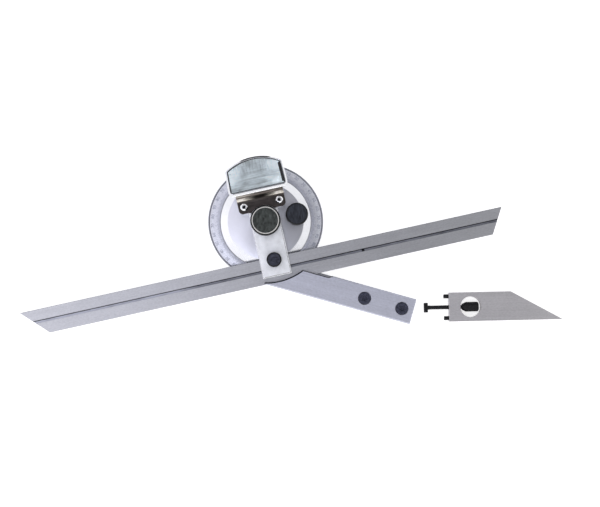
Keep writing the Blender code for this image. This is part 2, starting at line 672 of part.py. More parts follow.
def make_stock_screw(name, centre, spacer, bar, finish):
    """A cheese head screw in its counterbore, with the holes that it passes through."""
    hole = STOCK_SCREW_RADIUS + SEAT_GAP
    seat = STOCK_TOP - COUNTERBORE_DEPTH
    above = STOCK_TOP + CUT_OVERRUN
    drill(spacer, f"{name}_spacer_hole", hole, BODY_TOP, FRONT_BOTTOM, centre, ROUND_SIDES // 2)
    drill(bar, f"{name}_bar_hole", hole, FRONT_BOTTOM - CUT_OVERRUN, above, centre, ROUND_SIDES // 2)
    drill(bar, f"{name}_counterbore", STOCK_HEAD_RADIUS + SEAT_GAP, seat, above, centre)
    under_head = seat + SEAT_GAP
    head_top = under_head + STOCK_HEAD_HEIGHT
    screw = turned(name, [
        (0, BODY_TOP - STOCK_SCREW_GRIP),
        (STOCK_SCREW_RADIUS, BODY_TOP - STOCK_SCREW_GRIP),
        (STOCK_SCREW_RADIUS, under_head),
        (STOCK_HEAD_RADIUS, under_head),
        (STOCK_HEAD_RADIUS, head_top - STOCK_HEAD_CHAMFER),
        (STOCK_HEAD_RADIUS - STOCK_HEAD_CHAMFER, head_top),
        (0, head_top),
    ], finish, sides=ROUND_SIDES)
    socket = prism(f"{name}_socket", circle(SOCKET_RADIUS, sides=6), head_top - SOCKET_DEPTH,
                   head_top + CUT_OVERRUN, parent=screw)
    combine(screw, socket)
    screw.location = (*centre, 0)


def make_turret_plate(finish, turret):
    """The disc inside the dial: bevelled vernier band, pad behind the blade, bored for its bushes."""
    bore = BUSH_RADIUS + SEAT_GAP / 2
    plate = turned("turret_plate", [
        (bore, TURRET_BOTTOM),
        (TURRET_RADIUS - TURRET_CHAMFER, TURRET_BOTTOM),
        (TURRET_RADIUS, TURRET_BOTTOM + TURRET_CHAMFER),
        (TURRET_RADIUS, BODY_TOP),
        (TURRET_RADIUS - VERNIER_BAND, TURRET_TOP),
        (bore, TURRET_TOP),
    ], finish, turret, sides=LARGE_ROUND_SIDES)
    side = [
        (-BLADE_OFFSET, PAD_BOTTOM - PAD_ROOT_DEPTH),
        (-BLADE_OFFSET, PAD_TOP),
        (-ARM_REACH, PAD_TOP),
        (-ARM_REACH, PAD_BOTTOM),
        (-BLADE_OFFSET - PAD_ROOT_REACH, PAD_BOTTOM),
        (-BLADE_OFFSET - PAD_ROOT_REACH, PAD_BOTTOM - PAD_ROOT_DEPTH),
    ]
    pad = prism("turret_pad_join", side, -ARM_WIDTH / 2, ARM_WIDTH / 2, parent=turret)
    stand_side_on(pad)
    combine(plate, pad, "UNION")
    low = TURRET_BOTTOM - CUT_OVERRUN
    high = TURRET_TOP + CUT_OVERRUN
    drill(plate, "pinion_bush_hole", PINION_BUSH_RADIUS + SEAT_GAP / 2, low, high, (GEAR_OFFSET, 0))
    for name, x in (("left", -BRACKET_SCREW_SPREAD), ("right", BRACKET_SCREW_SPREAD)):
        drill(plate, f"turret_screw_hole_{name}", BRACKET_SCREW_RADIUS + RUNNING_GAP, low, high,
              (x, BRACKET_SCREW_OFFSET), ROUND_SIDES // 2)
    return plate


def stand_side_on(piece):
    """Turn a prism drawn in (y, z) and raised along x so that it stands in its place."""
    piece.rotation_euler = (math.radians(QUARTER_TURN), 0, math.radians(QUARTER_TURN))


def make_bushes(finish, turret):
    """The turret's bush on the spindle and the pinion's bush in the turret plate."""
    turned("turret_bush", [
        (BUSH_BORE, TURRET_BOTTOM),
        (BUSH_RADIUS, TURRET_BOTTOM),
        (BUSH_RADIUS, TURRET_TOP),
        (BUSH_BORE, TURRET_TOP),
    ], finish, turret)
    pinion_bush = turned("pinion_bush", [
        (PINION_BUSH_BORE, TURRET_BOTTOM),
        (PINION_BUSH_RADIUS, TURRET_BOTTOM),
        (PINION_BUSH_RADIUS, TURRET_TOP),
        (PINION_BUSH_BORE, TURRET_TOP),
    ], finish, turret, sides=ROUND_SIDES // 2)
    pinion_bush.location = (GEAR_OFFSET, 0, 0)


def make_turret_arm(finish, turret):
    """The arm: a head that is screwed to the turret plate, and a jaw that bridges the blade."""
    half = ARM_WIDTH / 2
    head = ARM_HEAD_WIDTH / 2
    outline = rounded([
        (-half, -ARM_REACH, 0),
        (half, -ARM_REACH, 0),
        (half, ARM_HEAD_START, 0),
        (head, ARM_HEAD_START, ARM_HEAD_FILLET),
        (head, ARM_HEAD_END, ARM_HEAD_FILLET),
        (-head, ARM_HEAD_END, ARM_HEAD_FILLET),
        (-head, ARM_HEAD_START, ARM_HEAD_FILLET),
        (-half, ARM_HEAD_START, 0),
    ])
    arm = prism("turret_arm", outline, ARM_BOTTOM, ARM_TOP, finish, turret, chamfer=ARM_CHAMFER)
    wide = half + CUT_OVERRUN
    channel = box_outline(-wide, wide, -ARM_REACH - CUT_OVERRUN, -SHOULDER)
    mill(arm, "blade_channel", channel, ARM_BOTTOM - CUT_OVERRUN, FRONT_BOTTOM)
    pocket_half = SHOE_WIDTH / 2 + SEAT_GAP
    pocket = box_outline(-pocket_half, pocket_half, shoe_far() - SEAT_GAP, shoe_near() + SEAT_GAP)
    mill(arm, "shoe_pocket", pocket, FRONT_BOTTOM - CUT_OVERRUN, pocket_roof())
    above = ARM_TOP + CUT_OVERRUN
    drill(arm, "clamp_screw_hole", CLAMP_SCREW_RADIUS + RUNNING_GAP, BLADE_TOP, above, (0, -CLAMP_OFFSET),
          ROUND_SIDES // 2)
    drill(arm, "spindle_hole", SPINDLE_RADIUS + SEAT_GAP, ARM_BOTTOM - CUT_OVERRUN, above)
    for name, x in (("left", -BRACKET_SCREW_SPREAD), ("right", BRACKET_SCREW_SPREAD)):
        drill(arm, f"arm_screw_hole_{name}", BRACKET_SCREW_RADIUS + SEAT_GAP, ARM_BOTTOM - CUT_OVERRUN,
              above, (x, BRACKET_SCREW_OFFSET), ROUND_SIDES // 2)
    return arm


def shoe_near():
    """The shoe's edge towards the swivel axis."""
    return -CLAMP_OFFSET + SHOE_HEEL


def toe_middle():
    """The middle of the blade's groove, where the shoe's toe stands."""
    return -BLADE_OFFSET - GROOVE_OFFSET


def shoe_far():
    """The shoe's edge away from the swivel axis."""
    return toe_middle() - GROOVE_WIDTH / 2 + SEAT_GAP - TOE_OVERHANG


def pocket_roof():
    """The roof of the shoe's pocket, with room for the shoe to rise."""
    return FRONT_BOTTOM + SHOE_THICKNESS + CLAMP_TRAVEL + SEAT_GAP


def make_blade(finish, turret):
    """The blade, with its ends cut at two angles and a groove along its face."""
    near = -BLADE_OFFSET
    far = near - BLADE_WIDTH
    left_cut = BLADE_WIDTH / math.tan(math.radians(BLADE_LEFT_ANGLE))
    right_cut = BLADE_WIDTH / math.tan(math.radians(BLADE_RIGHT_ANGLE))
    right = BLADE_LENGTH - BLADE_LEFT_REACH
    outline = [
        (-BLADE_LEFT_REACH, near),
        (-BLADE_LEFT_REACH + left_cut, far),
        (right - right_cut, far),
        (right, near),
    ]
    blade = prism("blade", outline, BLADE_BOTTOM, BLADE_TOP, finish, turret, chamfer=BLADE_CHAMFER)
    half = GROOVE_WIDTH / 2
    groove = box_outline(-BLADE_LEFT_REACH - CUT_OVERRUN, right + CUT_OVERRUN, toe_middle() - half,
                         toe_middle() + half)
    mill(blade, "blade_groove", groove, BLADE_TOP - GROOVE_DEPTH, BLADE_TOP + CUT_OVERRUN)
    return blade


def make_pinion(shaft_finish, knob_finish, pinion_axis):
    """The pinion cut on its shaft, in mesh with the ring gear, and the knob on top of it."""
    root = GEAR_MODULE * (PINION_TEETH / 2 + PROFILE_SHIFT_SHARE - DEDENDUM_SHARE)
    tip = GEAR_MODULE * (PINION_TEETH / 2 + PROFILE_SHIFT_SHARE + ADDENDUM_SHARE)
    turn = -SWIVEL_ANGLE * RING_TEETH / PINION_TEETH
    teeth = gear_outline(PINION_TEETH, root, tip, pinion_tooth_width() - BACKLASH,
                         PINION_FLANK_STEPS, turn)
    pinion = prism("pinion_shaft", teeth, GEAR_BOTTOM, LAND_HEIGHT, shaft_finish, pinion_axis)
    knob_bottom = TURRET_TOP + SEAT_GAP
    knob_top = knob_bottom + FINE_KNOB_HUB + FINE_KNOB_HEIGHT
    shaft_top = knob_top - PINION_SHAFT_TOP
    shaft = prism("pinion_shaft_join", circle(PINION_SHAFT_RADIUS, sides=ROUND_SIDES // 2),
                  GEAR_BOTTOM + SEAT_GAP, shaft_top, parent=pinion_axis)
    combine(pinion, shaft, "UNION")
    bore = PINION_SHAFT_RADIUS + RUNNING_GAP
    head_bottom = knob_bottom + FINE_KNOB_HUB
    hub = FINE_KNOB_RADIUS / 2
    turned("fine_adjust_knob", [
        (0, shaft_top + SEAT_GAP),
        (bore, shaft_top + SEAT_GAP),
        (bore, knob_bottom),
        (hub, knob_bottom),
        (hub, head_bottom),
        (FINE_KNOB_RADIUS - FINE_KNOB_CHAMFER, head_bottom),
        (FINE_KNOB_RADIUS, head_bottom + FINE_KNOB_CHAMFER, True),
        (FINE_KNOB_RADIUS, knob_top - FINE_KNOB_CHAMFER, True),
        (FINE_KNOB_RADIUS - FINE_KNOB_CHAMFER, knob_top),
        (0, knob_top),
    ], knob_finish, pinion_axis, ridges=FINE_KNOB_RIDGES, ridge_depth=KNURL_DEPTH)


def make_blade_clamp(knob_finish, screw_finish, clamp_axis, turret):
    """The knob and screw on the arm, and the shoe whose toe stands in the blade's groove."""
    knob_bottom = ARM_TOP + SEAT_GAP
    bore_depth = CLAMP_KNOB_HEIGHT * 3 / 4
    bore = CLAMP_SCREW_RADIUS + RUNNING_GAP
    profile = knob_profile(CLAMP_KNOB_RADIUS, knob_bottom, CLAMP_KNOB_HEIGHT, CLAMP_KNOB_CHAMFER,
                           bore, bore_depth)
    top = knob_bottom + CLAMP_KNOB_HEIGHT
    profile += [(CLAMP_KNOB_RADIUS * 3 / 4, top), (CLAMP_KNOB_RADIUS / 2, top - KNURL_DEPTH),
                (0, top - KNURL_DEPTH)]
    turned("clamp_knob", profile, knob_finish, clamp_axis, ridges=CLAMP_KNOB_RIDGES,
           ridge_depth=KNURL_DEPTH)
    screw_bottom = pocket_roof() - SEAT_GAP / 2
    screw_top = knob_bottom + bore_depth - SEAT_GAP
    turned("clamp_screw", [
        (0, screw_bottom),
        (CLAMP_SCREW_RADIUS, screw_bottom),
        (CLAMP_SCREW_RADIUS, screw_top),
        (0, screw_top),
    ], screw_finish, clamp_axis, sides=ROUND_SIDES // 2)
    toe = GROOVE_WIDTH / 2 - SEAT_GAP
    side = [
        (shoe_near(), FRONT_BOTTOM),
        (shoe_near(), FRONT_BOTTOM + SHOE_THICKNESS),
        (shoe_far(), FRONT_BOTTOM + SHOE_THICKNESS),
        (shoe_far(), FRONT_BOTTOM),
        (toe_middle() - toe, FRONT_BOTTOM),
        (toe_middle() - toe, BLADE_TOP - GROOVE_DEPTH + SEAT_GAP),
        (toe_middle() + toe, BLADE_TOP - GROOVE_DEPTH + SEAT_GAP),
        (toe_middle() + toe, FRONT_BOTTOM),
    ]
    shoe = prism("clamp_shoe", side, -SHOE_WIDTH / 2, SHOE_WIDTH / 2, screw_finish, turret)
    stand_side_on(shoe)


def make_magnifier_bracket(finish, turret):
    """A bent sheet: two lugs round the lock knob, a rise, and a tab under the lens frame."""
    low = BRACKET_BOTTOM + BRACKET_THICKNESS / 2
    high = low + BRACKET_RISE
    raised = BRACKET_BEND + BRACKET_BEND_RUN
    path = rounded([
        (BRACKET_START, low, 0),
        (BRACKET_BEND, low, BRACKET_BEND_RADIUS),
        (raised, high, BRACKET_BEND_RADIUS),
        (raised + BRACKET_TAB, high, 0),
    ], steps=ARC_STEPS // 2, closed=False)
    half = BRACKET_WIDTH / 2
    bracket = prism("magnifier_bracket", strip(path, BRACKET_THICKNESS), -half, half, finish, turret)
    stand_side_on(bracket)
    end = raised + BRACKET_TAB
    plan = rounded([
        (-half, end, 0),
        (-half, BRACKET_START, BRACKET_FILLET),
        (half, BRACKET_START, BRACKET_FILLET),
        (half, end, 0),
    ])
    outline = prism("bracket_plan", plan, BRACKET_BOTTOM - CUT_OVERRUN, FRAME_BOTTOM + CUT_OVERRUN,
                    parent=turret)
    combine(bracket, outline, "INTERSECT")
    drill(bracket, "bracket_knob_arc", BRACKET_ARC_RADIUS, BRACKET_BOTTOM - CUT_OVERRUN,
          BRACKET_TOP + CUT_OVERRUN)
    for name, x in (("left", -BRACKET_SCREW_SPREAD), ("right", BRACKET_SCREW_SPREAD)):
        drill(bracket, f"bracket_hole_{name}", BRACKET_SCREW_RADIUS + SEAT_GAP,
              BRACKET_BOTTOM - CUT_OVERRUN, BRACKET_TOP + CUT_OVERRUN, (x, BRACKET_SCREW_OFFSET),
              ROUND_SIDES // 2)


def make_bracket_screws(finish, turret):
    """The two screws that hold bracket and arm to the turret plate."""
    under_head = BRACKET_TOP + SEAT_GAP
    top = under_head + BRACKET_HEAD_HEIGHT
    for name, x in (("left", -BRACKET_SCREW_SPREAD), ("right", BRACKET_SCREW_SPREAD)):
        screw = turned(f"bracket_screw_{name}", [
            (0, TURRET_TOP - BRACKET_SCREW_GRIP),
            (BRACKET_SCREW_RADIUS, TURRET_TOP - BRACKET_SCREW_GRIP),
            (BRACKET_SCREW_RADIUS, under_head),
            (BRACKET_HEAD_RADIUS, under_head),
            (BRACKET_HEAD_RADIUS, top - BRACKET_HEAD_CROWN),
            (BRACKET_HEAD_RADIUS * 3 / 4, top),
            (BRACKET_SOCKET_RADIUS, top),
            (BRACKET_SOCKET_RADIUS, top - BRACKET_HEAD_HEIGHT / 2),
            (0, top - BRACKET_HEAD_HEIGHT / 2),
        ], finish, turret, sides=ROUND_SIDES // 2)
        screw.location = (x, BRACKET_SCREW_OFFSET, 0)


def lens_outline(margin, foot_margin=None):
    """The arched outline of the lens, larger by a margin, and at its foot by another."""
    foot_margin = margin if foot_margin is None else foot_margin
    rise = LENS_APEX - LENS_SIDE_END
    half_head = LENS_HEAD_WIDTH / 2
    radius = (half_head ** 2 + rise ** 2) / (2 * rise)
    centre = (0, LENS_APEX - radius)
    swing = math.degrees(math.asin(half_head / radius))
    half_foot = LENS_FOOT_WIDTH / 2 + margin
    foot = LENS_START - foot_margin
    reach = radius + margin
    top = arc(centre, reach, QUARTER_TURN - swing, QUARTER_TURN + swing, 3 * ARC_STEPS)
    top[0] = (half_head + margin, top[0][1])
    top[-1] = (-half_head - margin, top[-1][1])
    start = rounded([(-half_foot, foot + LENS_FILLET * 2, 0), (-half_foot, foot, LENS_FILLET),
                     (half_foot, foot, LENS_FILLET), (half_foot, foot + LENS_FILLET * 2, 0)],
                    closed=False)
    return start + top


def make_lens_frame(finish, turret):
    """The bright frame: a wall round the lens and a ledge that it rests on."""
    top = FRAME_BOTTOM + FRAME_HEIGHT
    outer = lens_outline(FRAME_WALL + SEAT_GAP, FRAME_FOOT)
    frame = prism("lens_frame", outer, FRAME_BOTTOM, top, finish, turret, chamfer=FRAME_CHAMFER,
                  smooth_angle=30)
    mill(frame, "lens_window", lens_outline(-FRAME_LEDGE), FRAME_BOTTOM - CUT_OVERRUN, top)
    mill(frame, "lens_seat", lens_outline(SEAT_GAP), FRAME_BOTTOM + FRAME_LEDGE_THICKNESS,
         top + CUT_OVERRUN)
    return frame


def make_lens(finish, turret):
    """The glass: a slab whose upper face is crowned in steps towards the middle."""
    outline = lens_outline(0)
    middle = (0, (LENS_START + LENS_APEX) / 2)
    crown_shares = ((1.0, 0.0), (0.8, 0.5), (0.45, 0.85), (0.15, 0.99))
    shape = bmesh.new()
    base = [shape.verts.new((x, y, LENS_BOTTOM)) for x, y in outline]
    rings = [base]
    for reach_share, rise_share in crown_shares:
        height = LENS_BOTTOM + LENS_THICKNESS + LENS_CROWN * rise_share
        rings.append([shape.verts.new((middle[0] + (x - middle[0]) * reach_share,
                                       middle[1] + (y - middle[1]) * reach_share, height))
                      for x, y in outline])
    for lower, upper in zip(rings, rings[1:]):
        for index in range(len(outline)):
            shape.faces.new((lower[index - 1], lower[index], upper[index], upper[index - 1]))
    shape.faces.new(base)
    shape.faces.new(rings[-1])
    return add_object("magnifier_lens", finish_mesh(shape, "magnifier_lens", 25), finish, turret)


def make_attachment_block(finish, attachment):
    """The acute angle block: a bar with a 30 degree point, a round window and drilled end."""
    half = ATTACHMENT_WIDTH / 2
    slant = ATTACHMENT_WIDTH / math.tan(math.radians(ATTACHMENT_POINT_ANGLE))
    outline = [
        (0, -half),
        (ATTACHMENT_LENGTH, -half),
        (ATTACHMENT_LENGTH, -half + ATTACHMENT_TIP_FLAT),
        (ATTACHMENT_LENGTH - slant, half),
        (0, half),
    ]
    block = prism("attachment_block", outline, -BOLT_HEIGHT, BOLT_HEIGHT, finish, attachment,
                  chamfer=ATTACHMENT_CHAMFER)
    deep = BOLT_HEIGHT + CUT_OVERRUN
    drill(block, "attachment_window", WINDOW_RADIUS, -deep, deep, (WINDOW_CENTRE, 0))
    drill_along(block, "bolt_hole", BOLT_RADIUS + SEAT_GAP, -CUT_OVERRUN, WINDOW_CENTRE, 0)
    for name, y in (("upper", PIN_SPREAD / 2), ("lower", -PIN_SPREAD / 2)):
        drill_along(block, f"pin_hole_{name}", PIN_RADIUS + SEAT_GAP / 2, -CUT_OVERRUN,
                    PIN_SEAT + SEAT_GAP, y)
    return block


def lay_along(piece, y=0.0):
    """Lay a piece turned about Z so that its axis runs along X."""
    piece.rotation_euler = (0, math.radians(QUARTER_TURN), 0)
    piece.location = (0, y, 0)


def drill_along(target, name, radius, start, end, y):
    """A round hole along X."""
    tool = prism(name, circle(radius, sides=ROUND_SIDES // 2), start, end, parent=target.parent)
    lay_along(tool, y)
    combine(target, tool)


def make_attachment_fittings(finish, attachment):
    """The knurled thumb nut in the window, the T-bolt that it draws, and the two locating pins."""
    end = NUT_START + NUT_LENGTH
    bore = BOLT_RADIUS + SEAT_GAP / 2
    nut = turned("thumb_nut", [
        (bore, NUT_START),
        (NUT_NOSE_RADIUS, NUT_START),
        (NUT_RADIUS, NUT_START + NUT_CONE, True),
        (NUT_RADIUS, end - NUT_ROUNDING, True),
        (NUT_RADIUS - NUT_ROUNDING, end),
        (bore, end),
    ], finish, attachment, ridges=NUT_RIDGES, ridge_depth=NUT_KNURL_DEPTH)
    lay_along(nut)
    bolt = prism("t_bolt", circle(BOLT_RADIUS, sides=ROUND_SIDES // 2), -BOLT_REACH - BOLT_OVERLAP,
                 BOLT_TAIL, finish, attachment, smooth_angle=35)
    lay_along(bolt)
    head = box_outline(-BOLT_HEAD_HEIGHT / 2, BOLT_HEAD_HEIGHT / 2, -BOLT_HEAD_LENGTH / 2,
                       BOLT_HEAD_LENGTH / 2)
    head = prism("bolt_head_join", head, -BOLT_REACH - BOLT_HEAD_THICKNESS, -BOLT_REACH,
                 parent=attachment, chamfer=BOLT_HEAD_CHAMFER)
    lay_along(head)
    combine(bolt, head, "UNION")
    for name, y in (("upper", PIN_SPREAD / 2), ("lower", -PIN_SPREAD / 2)):
        pin = turned(f"locating_pin_{name}", [
            (0, -PIN_REACH),
            (PIN_RADIUS - PIN_CHAMFER, -PIN_REACH),
            (PIN_RADIUS, -PIN_REACH + PIN_CHAMFER),
            (PIN_RADIUS, PIN_SEAT),
            (0, PIN_SEAT),
        ], finish, attachment, sides=ROUND_SIDES // 2)
        lay_along(pin, y)


def main():
    """Clear the scene and make every piece."""
    for item in list(bpy.data.objects):
        bpy.data.objects.remove(item, do_unlink=True)
    finishes = make_materials()
    steel = finishes["ground_steel"]
    black = finishes["black_oxide"]
    satin = finishes["satin_chrome"]
    hard = finishes["hardened_steel"]
    turret = axis_empty("swivel_axis", turn=SWIVEL_ANGLE)
    pinion_axis = axis_empty("pinion_axis", turret, (GEAR_OFFSET, 0, 0))
    clamp_axis = axis_empty("clamp_axis", turret, (0, -CLAMP_OFFSET, 0))
    attachment = axis_empty("attachment_axis", None, (ATTACHMENT_X, ATTACHMENT_Y, BOLT_HEIGHT),
                            ATTACHMENT_ANGLE)
    make_dial_body(steel)
    make_dial_ring(satin)
    make_ring_gear(hard)
    make_spindle(hard)
    make_washers(hard, hard)
    make_lock_knob(black)
    make_stock(steel, black)
    make_turret_plate(satin, turret)
    make_bushes(finishes["bearing_bronze"], turret)
    make_turret_arm(satin, turret)
    make_blade(steel, turret)
    make_pinion(hard, black, pinion_axis)
    make_blade_clamp(black, hard, clamp_axis, turret)
    make_magnifier_bracket(finishes["bronzed_steel"], turret)
    make_bracket_screws(finishes["bright_chrome"], turret)
    make_lens_frame(finishes["bright_chrome"], turret)
    make_lens(finishes["lens_glass"], turret)
    make_attachment_block(steel, attachment)
    make_attachment_fittings(black, attachment)


main()
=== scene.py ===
"""Finishes, fine detail and studio for a universal bevel protractor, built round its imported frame.

Lengths are in metres, in the frame's own axes: the origin is on the swivel axis at the flat back,
+X runs along the stock and +Z points up at the reader. The turret and what it carries stand turned
by SWIVEL about +Z, and the acute angle attachment by LEAN.
"""

import math

import bmesh
import bpy
import numpy as np
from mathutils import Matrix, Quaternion, Vector


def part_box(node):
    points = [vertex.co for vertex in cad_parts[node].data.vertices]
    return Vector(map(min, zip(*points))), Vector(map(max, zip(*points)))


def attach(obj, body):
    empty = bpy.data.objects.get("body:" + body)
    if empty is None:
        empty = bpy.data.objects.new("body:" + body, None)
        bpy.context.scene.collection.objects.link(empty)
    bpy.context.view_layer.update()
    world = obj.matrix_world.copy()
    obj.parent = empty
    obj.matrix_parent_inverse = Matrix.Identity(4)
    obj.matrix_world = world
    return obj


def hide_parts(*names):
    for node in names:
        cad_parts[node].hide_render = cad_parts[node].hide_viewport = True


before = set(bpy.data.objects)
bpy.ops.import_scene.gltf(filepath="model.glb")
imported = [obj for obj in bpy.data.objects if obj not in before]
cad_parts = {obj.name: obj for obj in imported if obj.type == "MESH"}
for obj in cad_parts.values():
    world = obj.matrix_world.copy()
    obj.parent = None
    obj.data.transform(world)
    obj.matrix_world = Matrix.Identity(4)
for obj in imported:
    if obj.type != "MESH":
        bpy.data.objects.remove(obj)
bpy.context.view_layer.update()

bl_info = {
    "name": "Universal bevel protractor finishes",
    "version": (1, 0, 0),
    "blender": (4, 5, 0),
    "location": "3D View > Sidebar > Protractor",
    "description": "Dresses the packed frame of a bevel protractor and lights it",
    "category": "Object",
}

MM = 0.001
SWIVEL = math.radians(28)
LEAN = math.radians(16.8)
PICTURE_TURN = math.radians(15.5)

# Heights and radii that the frame's nodes give
DIAL_LOW, DIAL_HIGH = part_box("dial_ring")
DIAL_TOP = DIAL_HIGH.z
PLATE_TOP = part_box("turret_bush")[1].z

# Groove along the blade
BLADE_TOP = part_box("blade")[1].z
GROOVE_FROM_AXIS = -29.9 * MM
GROOVE_WIDTH = 1.8 * MM
GROOVE_DEPTH = 0.9 * MM
DROP_ALONG = 54.2 * MM
BLADE_UPPER_SIDE = -22.4 * MM

# Dial ring and vernier bevel
RING_INNER = 27.85 * MM
RING_OUTER = 34.2 * MM
RING_THICKNESS = 0.9 * MM
RING_FALL = 0.45 * MM
BEVEL_INNER = 23.2 * MM
BEVEL_OUTER = 27.55 * MM
DIAL_RIM = 34.9 * MM
DARK_BAND = 0.7 * MM
DEGREES = 360
NUMERAL_RADIUS = 32.4 * MM
VERNIER_DIVISIONS = 24
VERNIER_SPREAD = math.radians(46)
VERNIER_NUMERAL_RADIUS = 24.45 * MM

# Places on the turret
FINE_KNOB_AT = (19.5 * MM, 0.0)
CLAMP_KNOB_AT = (0.0, -24.2 * MM)
BRACKET_SCREWS_AT = ((-10.9 * MM, 10.8 * MM), (10.9 * MM, 10.8 * MM))

# Glass of the magnifier: its long middle line and half its height
LENS_MIDDLE = 28.7 * MM
LENS_HALF = 9.6 * MM

# Stock: its concave end and its screws
STOCK_ARC = 37.4 * MM
STOCK_SCREWS_AT = ((70.4 * MM, -29.15 * MM), (93.8 * MM, -29.15 * MM))

# Acute angle attachment: where its end face, middle and mid height meet
BLOCK_AT = (121.606 * MM, -20.5 * MM, 3.2 * MM)


def linear(code):
    """The linear colour of an sRGB hex code such as #A0B0C0."""
    shares = [int(code[place:place + 2], 16) / 255 for place in (1, 3, 5)]
    return tuple(s / 12.92 if s <= 0.04045 else ((s + 0.055) / 1.055) ** 2.4 for s in shares)


def colour_setting(name, description, code):
    """A colour property whose default is an sRGB hex code."""
    return bpy.props.FloatVectorProperty(name=name, description=description, subtype="COLOR", size=3,
                                         min=0, max=1, default=linear(code))


def length_setting(name, description, default):
    """A length property in metres."""
    return bpy.props.FloatProperty(name=name, description=description, default=default, min=0,
                                   precision=5, unit="LENGTH")


class ProtractorSizes(bpy.types.PropertyGroup):
    """Sizes of the fine detail."""

    easing: length_setting("Edge easing", "How far a machined edge is eased", 0.07 * MM)
    line_width: length_setting("Line width", "Width of a graduation", 0.13 * MM)
    line_rise: length_setting("Line rise", "How far the filled lines stand proud", 0.012 * MM)
    numeral_height: length_setting("Numeral height", "Height of the dial's numerals", 1.9 * MM)
    vernier_numeral_height: length_setting("Vernier numeral height", "Height of the vernier's numerals",
                                           1.5 * MM)
    knurl_pitch: length_setting("Knurl pitch", "Distance between the ridges of a knob", 0.9 * MM)
    knurl_depth: length_setting("Knurl depth", "Depth of the knurling", 0.22 * MM)
    lens_crown: length_setting("Lens crown", "How far each face of the glass swells", 0.8 * MM)
    thread_pitch: length_setting("Thread pitch", "Pitch of the T-bolt's thread", 0.6 * MM)


class ProtractorColours(bpy.types.PropertyGroup):
    """Colours of the finishes."""

    blade: colour_setting("Blade", "Ground tool steel of the blade", "#C5C6CA")
    stock: colour_setting("Stock", "Ground tool steel of the stock", "#C0C2CF")
    # The concave end's colour is painted shade along the stock's arc.
    stock_end: colour_setting("Concave end", "Painted shade along the stock's concave end", "#303138")
    # The dial rim's colour is painted shade, laid in a narrow band round the rim.
    rim: colour_setting("Dial rim", "Painted shade in a band round the dial's rim", "#A2A3AC")
    lock_face: colour_setting("Lock knob face", "Brushed and blackened face of the lock knob", "#424645")
    fine_face: colour_setting("Fine knob face", "Brushed and blackened face of the fine knob", "#33363E")
    clamp_face: colour_setting("Clamp knob face", "Turned and blackened face of the clamp knob", "#393B48")
    screw_heads: colour_setting("Screw heads", "Blackened heads of the stock's screws", "#3E4050")
    inlay: colour_setting("Inlay", "Nickel line in the lock knob's face", "#DEDDDA")
    # The bend's pale colour is a painted highlight.
    worn_steel: colour_setting("Worn steel", "Painted highlight along the bracket's bend", "#EFE9E0")
    block: colour_setting("Attachment", "Ground tool steel of the attachment", "#C8C6C9")
    # The groove's colour is partly painted shade of the recess.
    groove: colour_setting("Groove", "Milled groove, darker as painted shade of its recess", "#878991")
    # This colour is painted shade on walls that face away, for the dark lines beside them.
    edge: colour_setting("Lapped edge", "Painted shade on the blade's and stock's walls that face away", "#4A4B52")
    dial: colour_setting("Dial", "Satin chrome of the dial ring", "#D3D5DF")
    plate: colour_setting("Turret plate", "Satin chrome of the turret", "#DFE0E8")
    bevel: colour_setting("Bevel", "Bright turned chrome of the vernier bevel", "#F0F1F6")
    arm: colour_setting("Arm", "Satin chrome of the turret arm", "#ECEEF3")
    chrome: colour_setting("Chrome", "Bright chrome of the lens frame and screws", "#EDEEF2")
    oxide: colour_setting("Black oxide", "Blackened steel of knobs and screws", "#16171B")
    bracket: colour_setting("Bracket", "Bronzed and polished spring steel", "#4E4947")
    hardened: colour_setting("Hardened steel", "Inner parts of hardened steel", "#9C9CA2")
    bronze: colour_setting("Bronze", "Bushes of bearing bronze", "#B08550")
    glass: colour_setting("Glass", "Tint of the magnifier's glass", "#DCE7EE")
    ink: colour_setting("Line filling", "Black filling of the vernier's lines and numerals", "#23242B")
    dial_ink: colour_setting("Dial filling", "Grey filling of the dial's lines and numerals", "#80859A")
    floor: colour_setting("Floor", "Pale floor", "#E8E8EA")


def sizes():
    """The size settings of this scene."""
    return bpy.context.scene.protractor_sizes


def colours():
    """The colour settings of this scene."""
    return bpy.context.scene.protractor_colours


def add_node(tree, kind, settings=(), links=()):
    """Add a node, with settings by property name or socket, and links to its sockets.

    A link comes from the first output of a node that is given, or from the output itself.
    """
    made = tree.nodes.new(kind)
    for key, value in dict(settings).items():
        if isinstance(key, str) and hasattr(made, key):
            setattr(made, key, value)
        else:
            made.inputs[key].default_value = value
    for key, source in dict(links).items():
        tree.links.new(getattr(source, "outputs", [source])[0], made.inputs[key])
    return made


def start_finish(name, code, roughness, metallic=1.0, **sockets):
    """A Principled material with its steady values on the shader's own sockets."""
    finish = bpy.data.materials.new(name)
    finish.use_nodes = True
    tree = finish.node_tree
    shader = tree.nodes["Principled BSDF"]
    shader.inputs["Base Color"].default_value = (*code, 1)
    shader.inputs["Roughness"].default_value = roughness
    shader.inputs["Metallic"].default_value = metallic
    for socket, value in sockets.items():
        shader.inputs[socket.replace("_", " ")].default_value = value
    return finish, tree, shader


